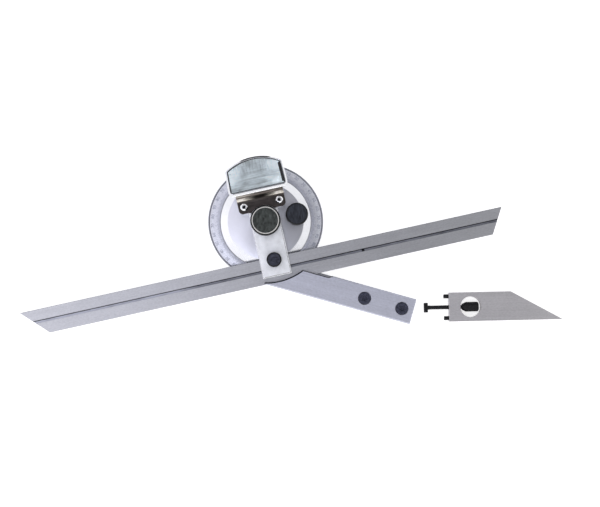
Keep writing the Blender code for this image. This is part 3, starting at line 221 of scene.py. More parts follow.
def drive(tree, shader, code, tone, tone_range, roughness_range, height, depth, swell=None):
    """Let patterns vary the shader: tone the colour's value, height the roughness and the bump.

    The bump's height is height times depth, plus a swell in metres for a face that isn't quite flat.
    """
    value = add_node(tree, "ShaderNodeMapRange", {"To Min": tone_range[0], "To Max": tone_range[1]},
                     {"Value": tone})
    shade = add_node(tree, "ShaderNodeHueSaturation", {"Color": (*code, 1)}, {"Value": value})
    rough = add_node(tree, "ShaderNodeMapRange",
                     {"To Min": roughness_range[0], "To Max": roughness_range[1]}, {"Value": height})
    relief = add_node(tree, "ShaderNodeMath", {"operation": "MULTIPLY_ADD", 1: depth, 2: 0},
                      {0: height} if swell is None else {0: height, 2: swell})
    bump = add_node(tree, "ShaderNodeBump", {"Strength": 1, "Distance": 1}, {"Height": relief})
    for socket, source in (("Base Color", shade), ("Roughness", rough), ("Normal", bump)):
        tree.links.new(source.outputs[0], shader.inputs[socket])


def lay_over(tree, share, colour):
    """Mix another colour over the colour of a finish, by a share from 0 to 1."""
    socket = tree.nodes["Principled BSDF"].inputs["Base Color"]
    over = add_node(tree, "ShaderNodeMix", {"data_type": "RGBA", 7: (*colour, 1)},
                    {0: share, 6: socket.links[0].from_socket})
    tree.links.new(over.outputs[2], socket)


def pattern(tree, grain, turn=0.0, centre=(0, 0, 0), detail=3.0):
    """A noise on Object coordinates whose grains have a size (x, y, z) in millimetres, turned about Z."""
    place = add_node(tree, "ShaderNodeTexCoord")
    laid = add_node(tree, "ShaderNodeMapping",
                    {"vector_type": "TEXTURE", "Location": centre, "Rotation": (0, 0, turn),
                     "Scale": [size * MM for size in grain]}, {"Vector": place.outputs["Object"]})
    noise = add_node(tree, "ShaderNodeTexNoise", {"Scale": 1.0, "Detail": detail}, {"Vector": laid})
    return noise


def measured(tree, turn):
    """How far a point lies along and across a direction turned about Z, in metres."""
    place = add_node(tree, "ShaderNodeTexCoord")
    laid = add_node(tree, "ShaderNodeMapping", {"vector_type": "TEXTURE", "Rotation": (0, 0, turn)},
                    {"Vector": place.outputs["Object"]})
    split = add_node(tree, "ShaderNodeSeparateXYZ", {}, {"Vector": laid})
    return split.outputs["X"], split.outputs["Y"]


def times(tree, first, *others):
    """The product of several values."""
    for other in others:
        first = add_node(tree, "ShaderNodeMath", {"operation": "MULTIPLY"}, {0: first, 1: other})
    return first


def spoke_and_radius(tree):
    """The level way from the swivel axis to a point, and its length in metres."""
    place = add_node(tree, "ShaderNodeTexCoord")
    spoke = add_node(tree, "ShaderNodeVectorMath", {"operation": "MULTIPLY", 1: (1, 1, 0)},
                     {0: place.outputs["Object"]})
    radius = add_node(tree, "ShaderNodeVectorMath", {"operation": "LENGTH"}, {0: spoke})
    return spoke, radius.outputs["Value"]


def rings(tree, pitch):
    """A noise that varies with the distance from the swivel axis alone, as a turning tool leaves it."""
    spoke, radius = spoke_and_radius(tree)
    count = add_node(tree, "ShaderNodeMath", {"operation": "DIVIDE", 1: pitch}, {0: radius})
    noise = add_node(tree, "ShaderNodeTexNoise", {"noise_dimensions": "1D", "Scale": 1.0, "Detail": 2.0},
                     {"W": count})
    return noise, spoke


def domed(tree, spoke, doming):
    """Minus doming times the squared distance from the axis: a face lapped a little hollow or round."""
    square = add_node(tree, "ShaderNodeVectorMath", {"operation": "DOT_PRODUCT"}, {0: spoke, 1: spoke})
    swell = add_node(tree, "ShaderNodeMath", {"operation": "MULTIPLY", 1: -doming},
                     {0: square.outputs["Value"]})
    return swell


def lay_sheen_round(tree, shader, spoke):
    """Point the shader's tangent along the turning rings: level, and square to the spoke."""
    around = add_node(tree, "ShaderNodeVectorMath", {"operation": "CROSS_PRODUCT", 0: (0, 0, 1)}, {1: spoke})
    world = add_node(tree, "ShaderNodeVectorTransform",
                     {"vector_type": "VECTOR", "convert_from": "OBJECT", "convert_to": "WORLD"},
                     {"Vector": around})
    tree.links.new(world.outputs["Vector"], shader.inputs["Tangent"])


def blended(tree, first, *others):
    """Patterns laid over one another: each (pattern, share) takes its share of what came before."""
    for other, share in others:
        first = add_node(tree, "ShaderNodeMix", {"data_type": "FLOAT", "Factor": share},
                         {2: first, 3: other})
    return first


def ground_steel(name, code, turn, centre=(0, 0, 0), roughness=0.36):
    """Hardened tool steel, surface ground along its length.

    The wheel leaves straight hairlines, drawn 0.4 mm apart where the real ones are 0.1 mm, which
    is too fine to show. They give a soft sheen, with paler and darker bands and faint handling stains.
    """
    finish, tree, shader = start_finish(name, code, roughness)
    hairlines = pattern(tree, (60, 0.4, 0.4), turn, centre)
    stains = pattern(tree, (9, 5, 5), turn, centre)
    specks = pattern(tree, (1.5, 0.8, 0.8), turn, centre)
    tone = blended(tree, hairlines, (stains, 0.35), (specks, 0.45))
    drive(tree, shader, code, tone, (0.62, 1.38), (roughness - 0.06, roughness + 0.06), hairlines,
          0.0015 * MM)
    return finish


def darken_round_dial(tree, middle, dark):
    """Paint shade over the finish: a second colour in a narrow band round the dial's axis, at its middle
    radius.
    """
    _, radius = spoke_and_radius(tree)
    inside = add_node(tree, "ShaderNodeMath", {"operation": "COMPARE", 1: middle, 2: DARK_BAND}, {0: radius})
    lay_over(tree, inside, dark)


def ground_dial(name, code):
    """Ground tool steel whose narrow rim round the ring was turned, with painted shade in a band along it."""
    finish = ground_steel(name, code, 0.0)
    darken_round_dial(finish.node_tree, DIAL_RIM, colours().rim)
    return finish


def ground_stock(name, code):
    """Ground tool steel, faintly violet, with painted shade in a narrow band along its concave end."""
    finish = ground_steel(name, code, 0.0, roughness=0.5)
    darken_round_dial(finish.node_tree, STOCK_ARC + 0.1 * MM, colours().stock_end)
    return finish


def milled_groove(name, code, turn):
    """Milled steel, dull grey and streaked along the cutter's way, darker than the blade as painted shade
    of the recess.

    Along its upper corner it is darkened further as painted shadow, and towards its left end it is
    lighter. One drop of old oil has dried black.
    """
    finish, tree, shader = start_finish(name, code, 0.42)
    streaks = pattern(tree, (12, 0.5, 0.5), turn)
    oil = pattern(tree, (7, 2, 2), turn)
    along, across = measured(tree, turn)
    # Painted shadow: beyond its upper corner the groove darkens to about a fifth.
    corner = add_node(tree, "ShaderNodeMapRange",
                      {"From Min": GROOVE_FROM_AXIS + 0.2 * MM, "From Max": GROOVE_FROM_AXIS + 0.45 * MM,
                       "To Min": 1.0, "To Max": 0.22}, {"Value": across})
    lighter_left_end = add_node(tree, "ShaderNodeMapRange", {"From Min": -62 * MM, "From Max": -48 * MM,
                                                  "To Min": 2.0, "To Max": 1.0}, {"Value": along})
    past_drop = add_node(tree, "ShaderNodeMath", {"operation": "SUBTRACT", 1: DROP_ALONG}, {0: along})
    from_drop = add_node(tree, "ShaderNodeMath", {"operation": "ABSOLUTE"}, {0: past_drop})
    drop = add_node(tree, "ShaderNodeMapRange", {"From Min": 0.5 * MM, "From Max": 1.2 * MM,
                                                 "To Min": 0.12, "To Max": 1.0},
                    {"Value": from_drop})
    tone = times(tree, blended(tree, streaks, (oil, 0.6)), corner, lighter_left_end,
                 drop)
    drive(tree, shader, code, tone, (0.0, 2.0), (0.36, 0.5), streaks, 0.003 * MM)
    return finish


def turned_chrome(name, code, roughness, pitch, sheen, doming=0.0):
    """Steel turned on a lathe and satin chrome plated.

    The tool leaves rings about the swivel axis, drawn as coarse as the pitch needs to show. They
    spread the light outwards, so bright and dark sectors stand in the disc. Doming is the share of
    the squared radius, per metre, by which lapping left the face lower towards its edge.
    """
    finish, tree, shader = start_finish(name, code, roughness, Anisotropic=sheen)
    lines, spoke = rings(tree, pitch)
    clouds = pattern(tree, (3, 3, 3))
    swell = domed(tree, spoke, doming)
    drive(tree, shader, code, blended(tree, lines, (clouds, 0.7)), (0.95, 1.05),
          (roughness - 0.03, roughness + 0.03), lines, 0.0003 * MM, swell)
    lay_sheen_round(tree, shader, spoke)
    return finish


def etched_dial(name, code, doming):
    """Satin chrome on a turned ring that was blasted and then etched: a fine grey speckle over rings.

    Doming is the same share as for the turned chrome.
    """
    finish, tree, shader = start_finish(name, code, 0.38, Anisotropic=0.4)
    lines, spoke = rings(tree, 0.5 * MM)
    speckle = pattern(tree, (0.7, 0.7, 0.7), detail=5.0)
    swell = domed(tree, spoke, doming)
    drive(tree, shader, code, blended(tree, lines, (speckle, 0.75)), (0.5, 1.5), (0.32, 0.44), speckle,
          0.004 * MM, swell)
    lay_sheen_round(tree, shader, spoke)
    return finish


def satin_arm(name, code):
    """Milled steel, glass bead blasted and chrome plated: a soft grain with pale clouds.

    Polishing before the plating left it a little round across, so it is paler to the left.
    """
    finish, tree, shader = start_finish(name, code, 0.56)
    beads = pattern(tree, (0.35, 0.35, 0.35))
    clouds = pattern(tree, (4, 5, 4), SWIVEL)
    along, _ = measured(tree, SWIVEL)
    crown = add_node(tree, "ShaderNodeMath", {"operation": "MULTIPLY", 1: -6.0},
                     {0: times(tree, along, along)})
    drive(tree, shader, code, blended(tree, beads, (clouds, 0.6)), (0.6, 1.4), (0.5, 0.62), beads,
          0.003 * MM, crown)
    return finish


def bright_chrome(name, code):
    """Polished steel with decorative chrome: near mirror, with a little orange peel and haze."""
    finish, tree, shader = start_finish(name, code, 0.10)
    peel = pattern(tree, (1.2, 1.2, 1.2))
    haze = pattern(tree, (5, 5, 5))
    drive(tree, shader, code, haze, (0.95, 1.05), (0.07, 0.14), peel, 0.0008 * MM)
    return finish


def black_oxide(name, code, grain=(1.1, 1.1, 1.1), metallic=0.2):
    """Steel blackened in hot salts and oiled: almost black, with a patchy grey bloom and a soft shine.

    The bloom's grains have a size, long ones where a face was brushed before it was blackened.
    """
    finish, tree, shader = start_finish(name, code, 0.5, metallic, Specular_IOR_Level=0.25)
    bloom = pattern(tree, grain, PICTURE_TURN, detail=6.0)
    crystals = pattern(tree, (0.3, 0.3, 0.3))
    drive(tree, shader, code, blended(tree, bloom, (crystals, 0.2)), (-0.8, 2.8), (0.38, 0.55), crystals,
          0.004 * MM)
    return finish


def bronzed_steel(name, code):
    """Spring steel bronzed almost black and buffed along its width.

    A painted highlight lies along the bend: a broad streak that is palest at its two ends, and a
    narrower one above it at the left.
    """
    finish, tree, shader = start_finish(name, code, 0.32)
    buffing = pattern(tree, (14, 0.35, 0.35), SWIVEL)
    temper = pattern(tree, (4, 3, 3), SWIVEL)
    drive(tree, shader, code, blended(tree, buffing, (temper, 0.6)), (0.0, 2.0), (0.27, 0.38), buffing,
          0.001 * MM)
    along, across = measured(tree, SWIVEL)
    from_middle = add_node(tree, "ShaderNodeMath", {"operation": "ABSOLUTE"}, {0: along})
    ends = add_node(tree, "ShaderNodeMapRange", {"From Min": 2.0 * MM, "From Max": 6.5 * MM,
                                                 "To Min": 0.08, "interpolation_type": "SMOOTHSTEP"},
                    {"Value": from_middle})
    left = add_node(tree, "ShaderNodeMapRange", {"From Min": -3 * MM, "From Max": -9 * MM, "To Min": 0.03,
                                                 "To Max": 0.35}, {"Value": along})
    streaks = []
    for middle, half, share in ((15.3 * MM, 0.95 * MM, ends), (17.2 * MM, 0.5 * MM, left)):
        offset = add_node(tree, "ShaderNodeMath", {"operation": "SUBTRACT", 1: middle}, {0: across})
        distance = add_node(tree, "ShaderNodeMath", {"operation": "ABSOLUTE"}, {0: offset})
        band = add_node(tree, "ShaderNodeMapRange", {"From Min": half, "From Max": half * 0.4,
                                                     "interpolation_type": "SMOOTHSTEP"},
                        {"Value": distance})
        streaks.append(times(tree, band, share))
    # Painted highlight: the two streaks lay the pale colour over the bend.
    worn = add_node(tree, "ShaderNodeMath", {"operation": "ADD"}, {0: streaks[0], 1: streaks[1]})
    lay_over(tree, worn, colours().worn_steel)
    return finish


def machined_metal(name, code, roughness=0.32):
    """Bar stock turned and left as machined: even, with fine rings and oil in the low places."""
    finish, tree, shader = start_finish(name, code, roughness)
    grain = pattern(tree, (0.5, 0.5, 0.15))
    oil = pattern(tree, (4, 4, 4))
    drive(tree, shader, code, oil, (0.88, 1.12), (roughness - 0.06, roughness + 0.08), grain,
          0.0016 * MM)
    return finish


def hazed_acrylic(name, code):
    """Cast acrylic, buffed and long in use: hazed to a milky blue grey that only light comes through.

    Buffing left streaks along it and fine marks across. Its upper left is toned paler as a painted
    highlight, and it grows paler towards its right.
    """
    finish, tree, shader = start_finish(name, code, 0.30, metallic=0.0, IOR=1.49,
                                        Transmission_Weight=0.4, Coat_Weight=0.8, Coat_Roughness=0.08)
    streaks = pattern(tree, (16, 1.0, 2), SWIVEL)
    marks = pattern(tree, (0.6, 6, 2), SWIVEL)
    haze = pattern(tree, (6, 4, 4), SWIVEL)
    along, across = measured(tree, SWIVEL)
    upper = add_node(tree, "ShaderNodeMapRange", {"From Min": 28 * MM, "From Max": 31 * MM, "To Max": 0.6},
                     {"Value": across})
    # Painted highlight at the upper left of the glass; towards its right it is paler too.
    left = add_node(tree, "ShaderNodeMapRange", {"From Min": -17 * MM, "From Max": -7.5 * MM,
                                                 "To Min": 0.8, "To Max": 0.0}, {"Value": along})
    high = add_node(tree, "ShaderNodeMapRange", {"From Min": 22 * MM, "From Max": 30 * MM}, {"Value": across})
    right = add_node(tree, "ShaderNodeMapRange", {"From Min": 2 * MM, "From Max": 12 * MM,
                                                  "To Min": 0.94, "To Max": 1.24}, {"Value": along})
    highlight_and_right_lift = add_node(tree, "ShaderNodeMath", {"operation": "ADD"}, {0: times(tree, left, high), 1: right})
    lines = add_node(tree, "ShaderNodeMix", {"data_type": "FLOAT"}, {0: upper, 2: streaks, 3: marks})
    tone = times(tree, blended(tree, lines, (haze, 0.45)), highlight_and_right_lift)
    drive(tree, shader, code, tone, (-0.5, 2.5), (0.24, 0.36), haze, 0.002 * MM)
    return finish


def line_filling(name, code):
    """Cellulose paint wiped into engraved lines: flat, and worn thin here and there."""
    finish, tree, shader = start_finish(name, code, 0.6, metallic=0.0)
    wear = pattern(tree, (1.5, 1.5, 1.5))
    drive(tree, shader, code, wear, (0.7, 1.6), (0.5, 0.7), wear, 0.0005 * MM)
    return finish


def finish_of(maker, name, code, *args):
    """The material of that name, made once."""
    return bpy.data.materials.get(name) or maker(name, tuple(code), *args)


def grid_quads(rows, columns, wrap_rows=False, wrap_columns=True):
    """Corner numbers of the quads between neighbouring rows and columns of a grid of points."""
    row = np.arange(rows if wrap_rows else rows - 1)[:, None]
    column = np.arange(columns if wrap_columns else columns - 1)[None, :]
    next_row, next_column = (row + 1) % rows, (column + 1) % columns
    corners = np.broadcast_arrays(row * columns + column, row * columns + next_column,
                                  next_row * columns + next_column, next_row * columns + column)
    return np.stack(corners, axis=-1).reshape(-1, 4)


def capped_quads(rows, columns):
    """The quads between closed rows of points, with a face across the first row and the last."""
    count = rows * columns
    return [*map(tuple, grid_quads(rows, columns)), tuple(range(columns)),
            tuple(range(count - columns, count))]


def eased(corners, steps=3):
    """A profile with eased corners: at each (first, second, easing) the line bends by a parabola.

    It leaves the sides S and E at the easing's distance from the corner P and follows
    (1-t)^2 S + 2t(1-t) P + t^2 E.
    """
    corners = np.asarray(corners, float)
    here, cut = corners[:, None, :2], corners[:, None, 2:]
    ends = []
    for neighbour in (np.roll(here, 1, 0), np.roll(here, -1, 0)):
        span = neighbour - here
        reach = np.linalg.norm(span, axis=2, keepdims=True)
        ends.append(here + span / reach * np.minimum(cut, reach / 2))
    t = np.linspace(0, 1, steps + 1)[None, :, None]
    curve = (1 - t) ** 2 * ends[0] + 2 * t * (1 - t) * here + t ** 2 * ends[1]
    return curve.reshape(-1, 2)


def turned(profile, columns=192, shape=None, closed=False):
    """A turned surface: (r cos a, r sin a, z) for a profile of (r, z) carried round by the angle a.

    shape(a, r, z) may give the radius instead, as for knurling, a thread or a hexagon socket.
    """
    angle = np.linspace(0, 2 * math.pi, columns, endpoint=False)[None, :]
    radius, height = (np.repeat(profile[:, i:i + 1], columns, 1) for i in (0, 1))
    if shape is not None:
        radius = shape(angle, radius, height)
    points = np.stack([radius * np.cos(angle), radius * np.sin(angle), height], axis=-1)
    return points.reshape(-1, 3), grid_quads(len(profile), columns, wrap_rows=closed)


def placed(points, turn=0.0, at=(0, 0, 0)):
    """Points turned about Z and moved."""
    cosine, sine = math.cos(turn), math.sin(turn)
    turn_about_z = np.array([[cosine, -sine, 0], [sine, cosine, 0], [0, 0, 1]])
    return points @ turn_about_z.T + np.array(at)


def on_turret(points, at=(0, 0)):
    """Points of a piece on the turret, moved to a place in the turret's own axes and swung with it."""
    return placed(points + np.array([*at, 0]), SWIVEL)


def on_block(points, y=0.0):
    """Points turned about Z, laid along the attachment's length at a distance from its middle."""
    lying = points[:, [2, 1, 0]] * np.array([1, 1, -1]) + np.array([0, y, 0])
    return placed(lying, LEAN, BLOCK_AT)


def outward(outline):
    """The outward normals of a closed outline that runs anticlockwise: its chords turned right."""
    along = np.roll(outline, -1, 0) - np.roll(outline, 1, 0)
    along /= np.linalg.norm(along, axis=1, keepdims=True)
    return np.stack([along[:, 1], -along[:, 0]], axis=1)


def slab(outline, low, high, easing):
    """A plate: an outline carried up from low to high, drawn in along its normals at both rims."""
    normal = outward(outline)
    rows = ((easing, low), (easing * 0.3, low + easing * 0.3), (0, low + easing), (0, high - easing),
            (easing * 0.3, high - easing * 0.3), (easing, high))
    points = [np.column_stack([outline - normal * inset, np.full(len(outline), z)]) for inset, z in rows]
    return np.concatenate(points), capped_quads(len(rows), len(outline))


def add_piece(name, points, faces, body, finish, replaces=(), crease=30):
    """Make a mesh piece from arrays, close its seams, and let it ride on a body."""
    mesh = bpy.data.meshes.new(name)
    mesh.from_pydata(points, [], faces)
    shape = bmesh.new()
    shape.from_mesh(mesh)
    bmesh.ops.remove_doubles(shape, verts=shape.verts, dist=1e-7)
    bmesh.ops.dissolve_degenerate(shape, edges=shape.edges, dist=1e-8)
    bmesh.ops.recalc_face_normals(shape, faces=shape.faces)
    shape.to_mesh(mesh)
    shape.free()
    mesh.shade_smooth()
    mesh.set_sharp_from_angle(angle=math.radians(crease))
    return ride_piece(name, mesh, body, finish, replaces)


def ride_piece(name, mesh, body, finish, replaces=()):
    """Link a mesh as a piece with its finish, body, slot and the nodes that it stands for."""
    piece = bpy.data.objects.new(name, mesh)
    bpy.context.scene.collection.objects.link(piece)
    mesh.materials.clear()
    mesh.materials.append(finish)
    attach(piece, body)
    if replaces:
        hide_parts(*replaces)
    return piece


def eased_copy(node, body, finish, easing=None, crease=None, edge_finish=None):
    """A merged copy of a flat-sided node, with whole faces and edges eased by a small Bevel.

    Edges are sharp past 30 degrees, and past the crease where both faces look up. The eased edges
    may have a finish of their own.
    """
    shape = bmesh.new()
    shape.from_mesh(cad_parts[node].data)
    bmesh.ops.remove_doubles(shape, verts=shape.verts, dist=1e-6)
    bmesh.ops.dissolve_limit(shape, angle_limit=math.radians(0.2), verts=shape.verts, edges=shape.edges)
    for face in shape.faces:
        face.smooth = True
    for edge in shape.edges:
        angle = math.degrees(edge.calc_face_angle(0))
        both_up = crease is not None and all(face.normal.z > 0.8 for face in edge.link_faces)
        edge.smooth = angle < (crease if both_up else 30)
    name = f"{node}_finished"
    mesh = bpy.data.meshes.new(name)
    shape.to_mesh(mesh)
    shape.free()
    piece = ride_piece(name, mesh, body, finish, (node,))
    soften = piece.modifiers.new("eased edges", "BEVEL")
    soften.width = sizes().easing if easing is None else easing
    soften.segments = 2
    soften.limit_method = "ANGLE"
    soften.angle_limit = math.radians(30)
    soften.harden_normals = True
    if edge_finish is not None:
        mesh.materials.append(edge_finish)
        soften.material = 1
        soften.use_clamp_overlap = False
    return piece


def refinish(piece, finish, chosen):
    """Give some faces of a piece another finish: chosen picks them by their middles and normals."""
    mesh = piece.data
    mesh.materials.append(finish)
    count = len(mesh.polygons)
    middles, normals = np.empty(count * 3, np.float32), np.empty(count * 3, np.float32)
    indices = np.empty(count, np.int32)
    mesh.polygons.foreach_get("center", middles)
    mesh.polygons.foreach_get("normal", normals)
    mesh.polygons.foreach_get("material_index", indices)
    indices[chosen(middles.reshape(-1, 3), normals.reshape(-1, 3))] = len(mesh.materials) - 1
    mesh.polygons.foreach_set("material_index", indices)


def upper_face(centre, radius, depth):
    """Pick the faces within a radius of an axis and down to a depth below the piece's top."""
    def chosen(middles, normals):
        from_axis = np.hypot(middles[:, 0] - centre[0], middles[:, 1] - centre[1])
        return (from_axis < radius) & (middles[:, 2] > middles[:, 2].max() - depth)
    return chosen


def sideways(turn):
    """The level direction square to one that is turned about Z."""
    return np.array([-math.sin(turn), math.cos(turn), 0])


def long_wall(turn, offset):
    """Pick the faces that look across a direction turned about Z and lie near an offset from the axis."""
    across = sideways(turn)

    def chosen(middles, normals):
        return (normals @ across > 0.7) & (np.abs(middles @ across - offset) < 0.3 * MM)
    return chosen


def give_finish(finish, *nodes):
    """Give carried-over nodes their material."""
    for node in nodes:
        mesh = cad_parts[node].data
        mesh.materials.clear()
        mesh.materials.append(finish)


def oxide():
    """The black oxide that knobs and screws share."""
    return finish_of(black_oxide, "hot_black_oxide_on_steel", colours().oxide)


def ink():
    """The black filling that the vernier's lines and numerals share."""
    return finish_of(line_filling, "black_cellulose_filling", colours().ink)


def knurl(depth, ridges):
    """A radius function for straight knurling: the radius dips by a rounded valley between ridges.

    r - depth (1 - |sin(n a / 2)|) where the profile is at its full radius, fading out towards
    the chamfers and the faces.
    """
    def radius(angle, plain, height):
        full = plain.max()
        share = np.clip((plain - full + 2 * depth) / (2 * depth), 0, 1)
        return plain - depth * (1 - np.abs(np.sin(ridges * angle / 2))) * share
    return radius


def knurled(profile, radius, depth, closed=False):
    """A turned surface with straight knurling round it, at the pitch of the settings."""
    ridges = round(2 * math.pi * radius / sizes().knurl_pitch)
    return turned(profile, ridges * 6, knurl(depth, ridges), closed=closed)


def knurled_knob(node, body, profile, radius, face, face_radius, at=(0, 0), turn=SWIVEL):
    """A black knurled knob at a place on the turret, whose face has a finish of its own."""
    points, faces = knurled(profile, radius, sizes().knurl_depth)
    centre = np.array([*at, 0])
    knob = add_piece(f"{node}_knurled", placed(points + centre, turn), faces, body,
                     oxide(), (node,))
    refinish(knob, face, upper_face(placed(centre, turn), face_radius, 0.5 * MM))


def hexagon(across_flats, reach):
    """A radius function for a hexagon socket: inside the reach the circle becomes a hexagon.

    r = (flats / 2) / cos(a'), with a' the angle from the middle of the nearest flat.
    """
    def radius(angle, plain, height):
        from_flat = (angle + math.pi / 6) % (math.pi / 3) - math.pi / 6
        return np.where(np.isclose(plain, reach), across_flats / 2 / np.cos(from_flat), plain)
    return radius


class PROTRACTOR_OT_stage(bpy.types.Operator):
    """Lay the pale floor, hang the soft lamps and set the camera at the photograph's angle"""

    bl_idname = "protractor.stage"
    bl_label = "Stage"
    floor_size: length_setting("Floor", "Width of the floor", 6.0)

    def execute(self, context):
        self.lay_floor()
        self.fill_world(context.scene)
        self.hang_lamps()
        self.hang_grey_card()
        self.hang_black_strip()
        self.set_camera(context.scene)
        context.scene.view_settings.view_transform = "Standard"
        return {"FINISHED"}

    @staticmethod
    def seen_directly(tree):
        """1 for rays from the camera, and for those that metal and glass send on."""
        path = add_node(tree, "ShaderNodeLightPath")
        mirrored = add_node(tree, "ShaderNodeMath", {"operation": "MAXIMUM"},
                            {0: path.outputs["Is Camera Ray"], 1: path.outputs["Is Glossy Ray"]})
        return add_node(tree, "ShaderNodeMath", {"operation": "MAXIMUM"},
                        {0: mirrored, 1: path.outputs["Is Transmission Ray"]})

    @staticmethod
    def bare_finish(name):
        """A new material without nodes, and its node tree."""
        finish = bpy.data.materials.new(name)
        finish.use_nodes = True
        finish.node_tree.nodes.clear()
        return finish, finish.node_tree

    @staticmethod
    def hang(name, corners, finish):
        """A flat card with four corners, as part of the stage."""
        mesh = bpy.data.meshes.new(name)
        mesh.from_pydata(corners, [], [(0, 1, 2, 3)])
        mesh.materials.append(finish)
        card = bpy.data.objects.new(name, mesh)
        bpy.context.scene.collection.objects.link(card)
        return card

    def lay_floor(self):
        """A flat pale floor. It shows white from its own colour, and keeps the object's soft shadow."""
        half = self.floor_size / 2
        low = -0.05 * MM
        finish, tree = self.bare_finish("matt_white_floor_card")
        seen = self.seen_directly(tree)
        share = add_node(tree, "ShaderNodeMath", {"operation": "MULTIPLY", 1: 0.70}, {0: seen})
        card = add_node(tree, "ShaderNodeBsdfDiffuse", {"Color": (*colours().floor, 1)})
        glow = add_node(tree, "ShaderNodeEmission", {}, {"Strength": share})
        both = add_node(tree, "ShaderNodeAddShader", {}, {0: card, 1: glow})
        add_node(tree, "ShaderNodeOutputMaterial", {}, {"Surface": both})
        self.hang("floor", [(-half, -half, low), (half, -half, low), (half, half, low), (-half, half, low)],
                  finish)

    def fill_world(self, scene):
        """White all round where it is seen, and a plain soft fill as a light."""
        world = bpy.data.worlds.new("white_studio")
        world.use_nodes = True
        tree = world.node_tree
        tree.nodes.clear()
        seen = self.seen_directly(tree)
        strength = add_node(tree, "ShaderNodeMapRange", {"To Min": 0.62, "To Max": 1.0}, {"Value": seen})
        sky = add_node(tree, "ShaderNodeBackground", {"Color": (1, 1, 1, 1)}, {"Strength": strength})
        add_node(tree, "ShaderNodeOutputWorld", {}, {"Surface": sky})
        scene.world = world

    def hang_lamps(self):
        """A soft box to the left, a small key lamp nearly overhead and a long low panel in front."""
        for name, place, size, power, tint in (
                ("left_soft_box", (-0.62, -0.15, 0.62), (0.30, 0.5), 0.12, "#EEEEFF"),
                ("front_key", (-0.06, -0.30, 0.90), (0.12, 0.12), 0.45, "#EEF0FF"),
                ("front_panel", (0.30, -0.62, 0.42), (0.9, 0.3), 1.7, "#FFFDF8"),
        ):
            lamp = bpy.data.lights.new(name, "AREA")
            lamp.shape = "RECTANGLE"
            lamp.size, lamp.size_y = size
            lamp.energy = power
            lamp.color = linear(tint)
            hung = bpy.data.objects.new(name, lamp)
            hung.location = place
            hung.rotation_euler = (-Vector(place)).to_track_quat("-Z", "Y").to_euler()
            hung.visible_camera = False
            bpy.context.scene.collection.objects.link(hung)

    def hang_black_strip(self):
        """A black strip behind the object, for the dark lines along edges that face away."""
        finish = bpy.data.materials.new("black_flocked_card")
        finish.use_nodes = True
        shader = finish.node_tree.nodes["Principled BSDF"]
        shader.inputs["Base Color"].default_value = (*linear("#101012"), 1)
        self.show_to_mirrors_only(self.hang("black_strip", [
            (-0.50, 0.60, 0.04), (-0.14, 0.78, 0.04), (-0.14, 0.78, 1.10), (-0.50, 0.60, 1.10)], finish))

    @staticmethod
    def show_to_mirrors_only(card):
        """Let only glossy rays see a card."""
        card.visible_camera = card.visible_diffuse = False
        card.visible_shadow = card.visible_transmission = False

    def hang_grey_card(self):
        """A grey card over the camera, which flat metal mirrors: pale and faintly violet to the left."""
        left, right, near, far, height = -0.60, 0.48, -0.46, 0.46, 1.0
        finish, tree = self.bare_finish("grey_studio_card")
        place = add_node(tree, "ShaderNodeTexCoord")
        across = add_node(tree, "ShaderNodeVectorMath", {"operation": "DOT_PRODUCT", 1: (1.08, 0.05, 0)},
                          {0: place.outputs["Object"]})
        shade = add_node(tree, "ShaderNodeMapRange", {"From Min": -0.42, "From Max": 0.05,
                                                      "interpolation_type": "SMOOTHSTEP"},
                         {"Value": across.outputs["Value"]})
        light = add_node(tree, "ShaderNodeMix", {"data_type": "RGBA", 6: (1.11, 1.10, 1.21, 1),
                                                 7: (0.225, 0.227, 0.246, 1)},
                         {0: shade})
        glow = add_node(tree, "ShaderNodeEmission", {}, {"Color": light.outputs[2]})
        add_node(tree, "ShaderNodeOutputMaterial", {}, {"Surface": glow})
        self.show_to_mirrors_only(self.hang("grey_card", [
            (left, near, height), (left, far, height), (right, far, height), (right, near, height)], finish))

    def set_camera(self, scene):
        """A camera almost straight above, at the place and turn that fit the photograph."""
        lens = bpy.data.cameras.new("camera")
        lens.lens = 85
        lens.clip_start, lens.clip_end = 0.01, 20
        camera = bpy.data.objects.new("camera", lens)
        scene.collection.objects.link(camera)
        turn = Vector((math.radians(-2.67), math.radians(-0.01), math.radians(-15.52)))
        camera.location = (31.0 * MM, -53.0 * MM, 868.6 * MM)
        camera.rotation_mode = "QUATERNION"
        camera.rotation_quaternion = Quaternion(turn.normalized(), turn.length).inverted()
        scene.camera = camera


class PROTRACTOR_OT_dial(bpy.types.Operator):
    """Finish the dial body and turn the ring that carries the graduations"""

    bl_idname = "protractor.dial"
    bl_label = "Dial"

    def execute(self, context):
        steel = finish_of(ground_dial, "ground_steel_of_dial", colours().blade)
        eased_copy("dial_body", "dial", steel)
        low = DIAL_TOP - RING_THICKNESS
        profile = eased([
            (RING_INNER, low, 0.1 * MM), (RING_OUTER, low, 0.1 * MM),
            (RING_OUTER, DIAL_TOP - RING_FALL, 0.25 * MM), (RING_INNER, DIAL_TOP, 0.2 * MM),
        ])
        points, faces = turned(profile, 256, closed=True)
        etched = finish_of(etched_dial, "etched_satin_chrome_of_dial", colours().dial, 1.0)
        add_piece("graduated_ring", points, faces, "dial", etched, ("dial_ring",))
        return {"FINISHED"}


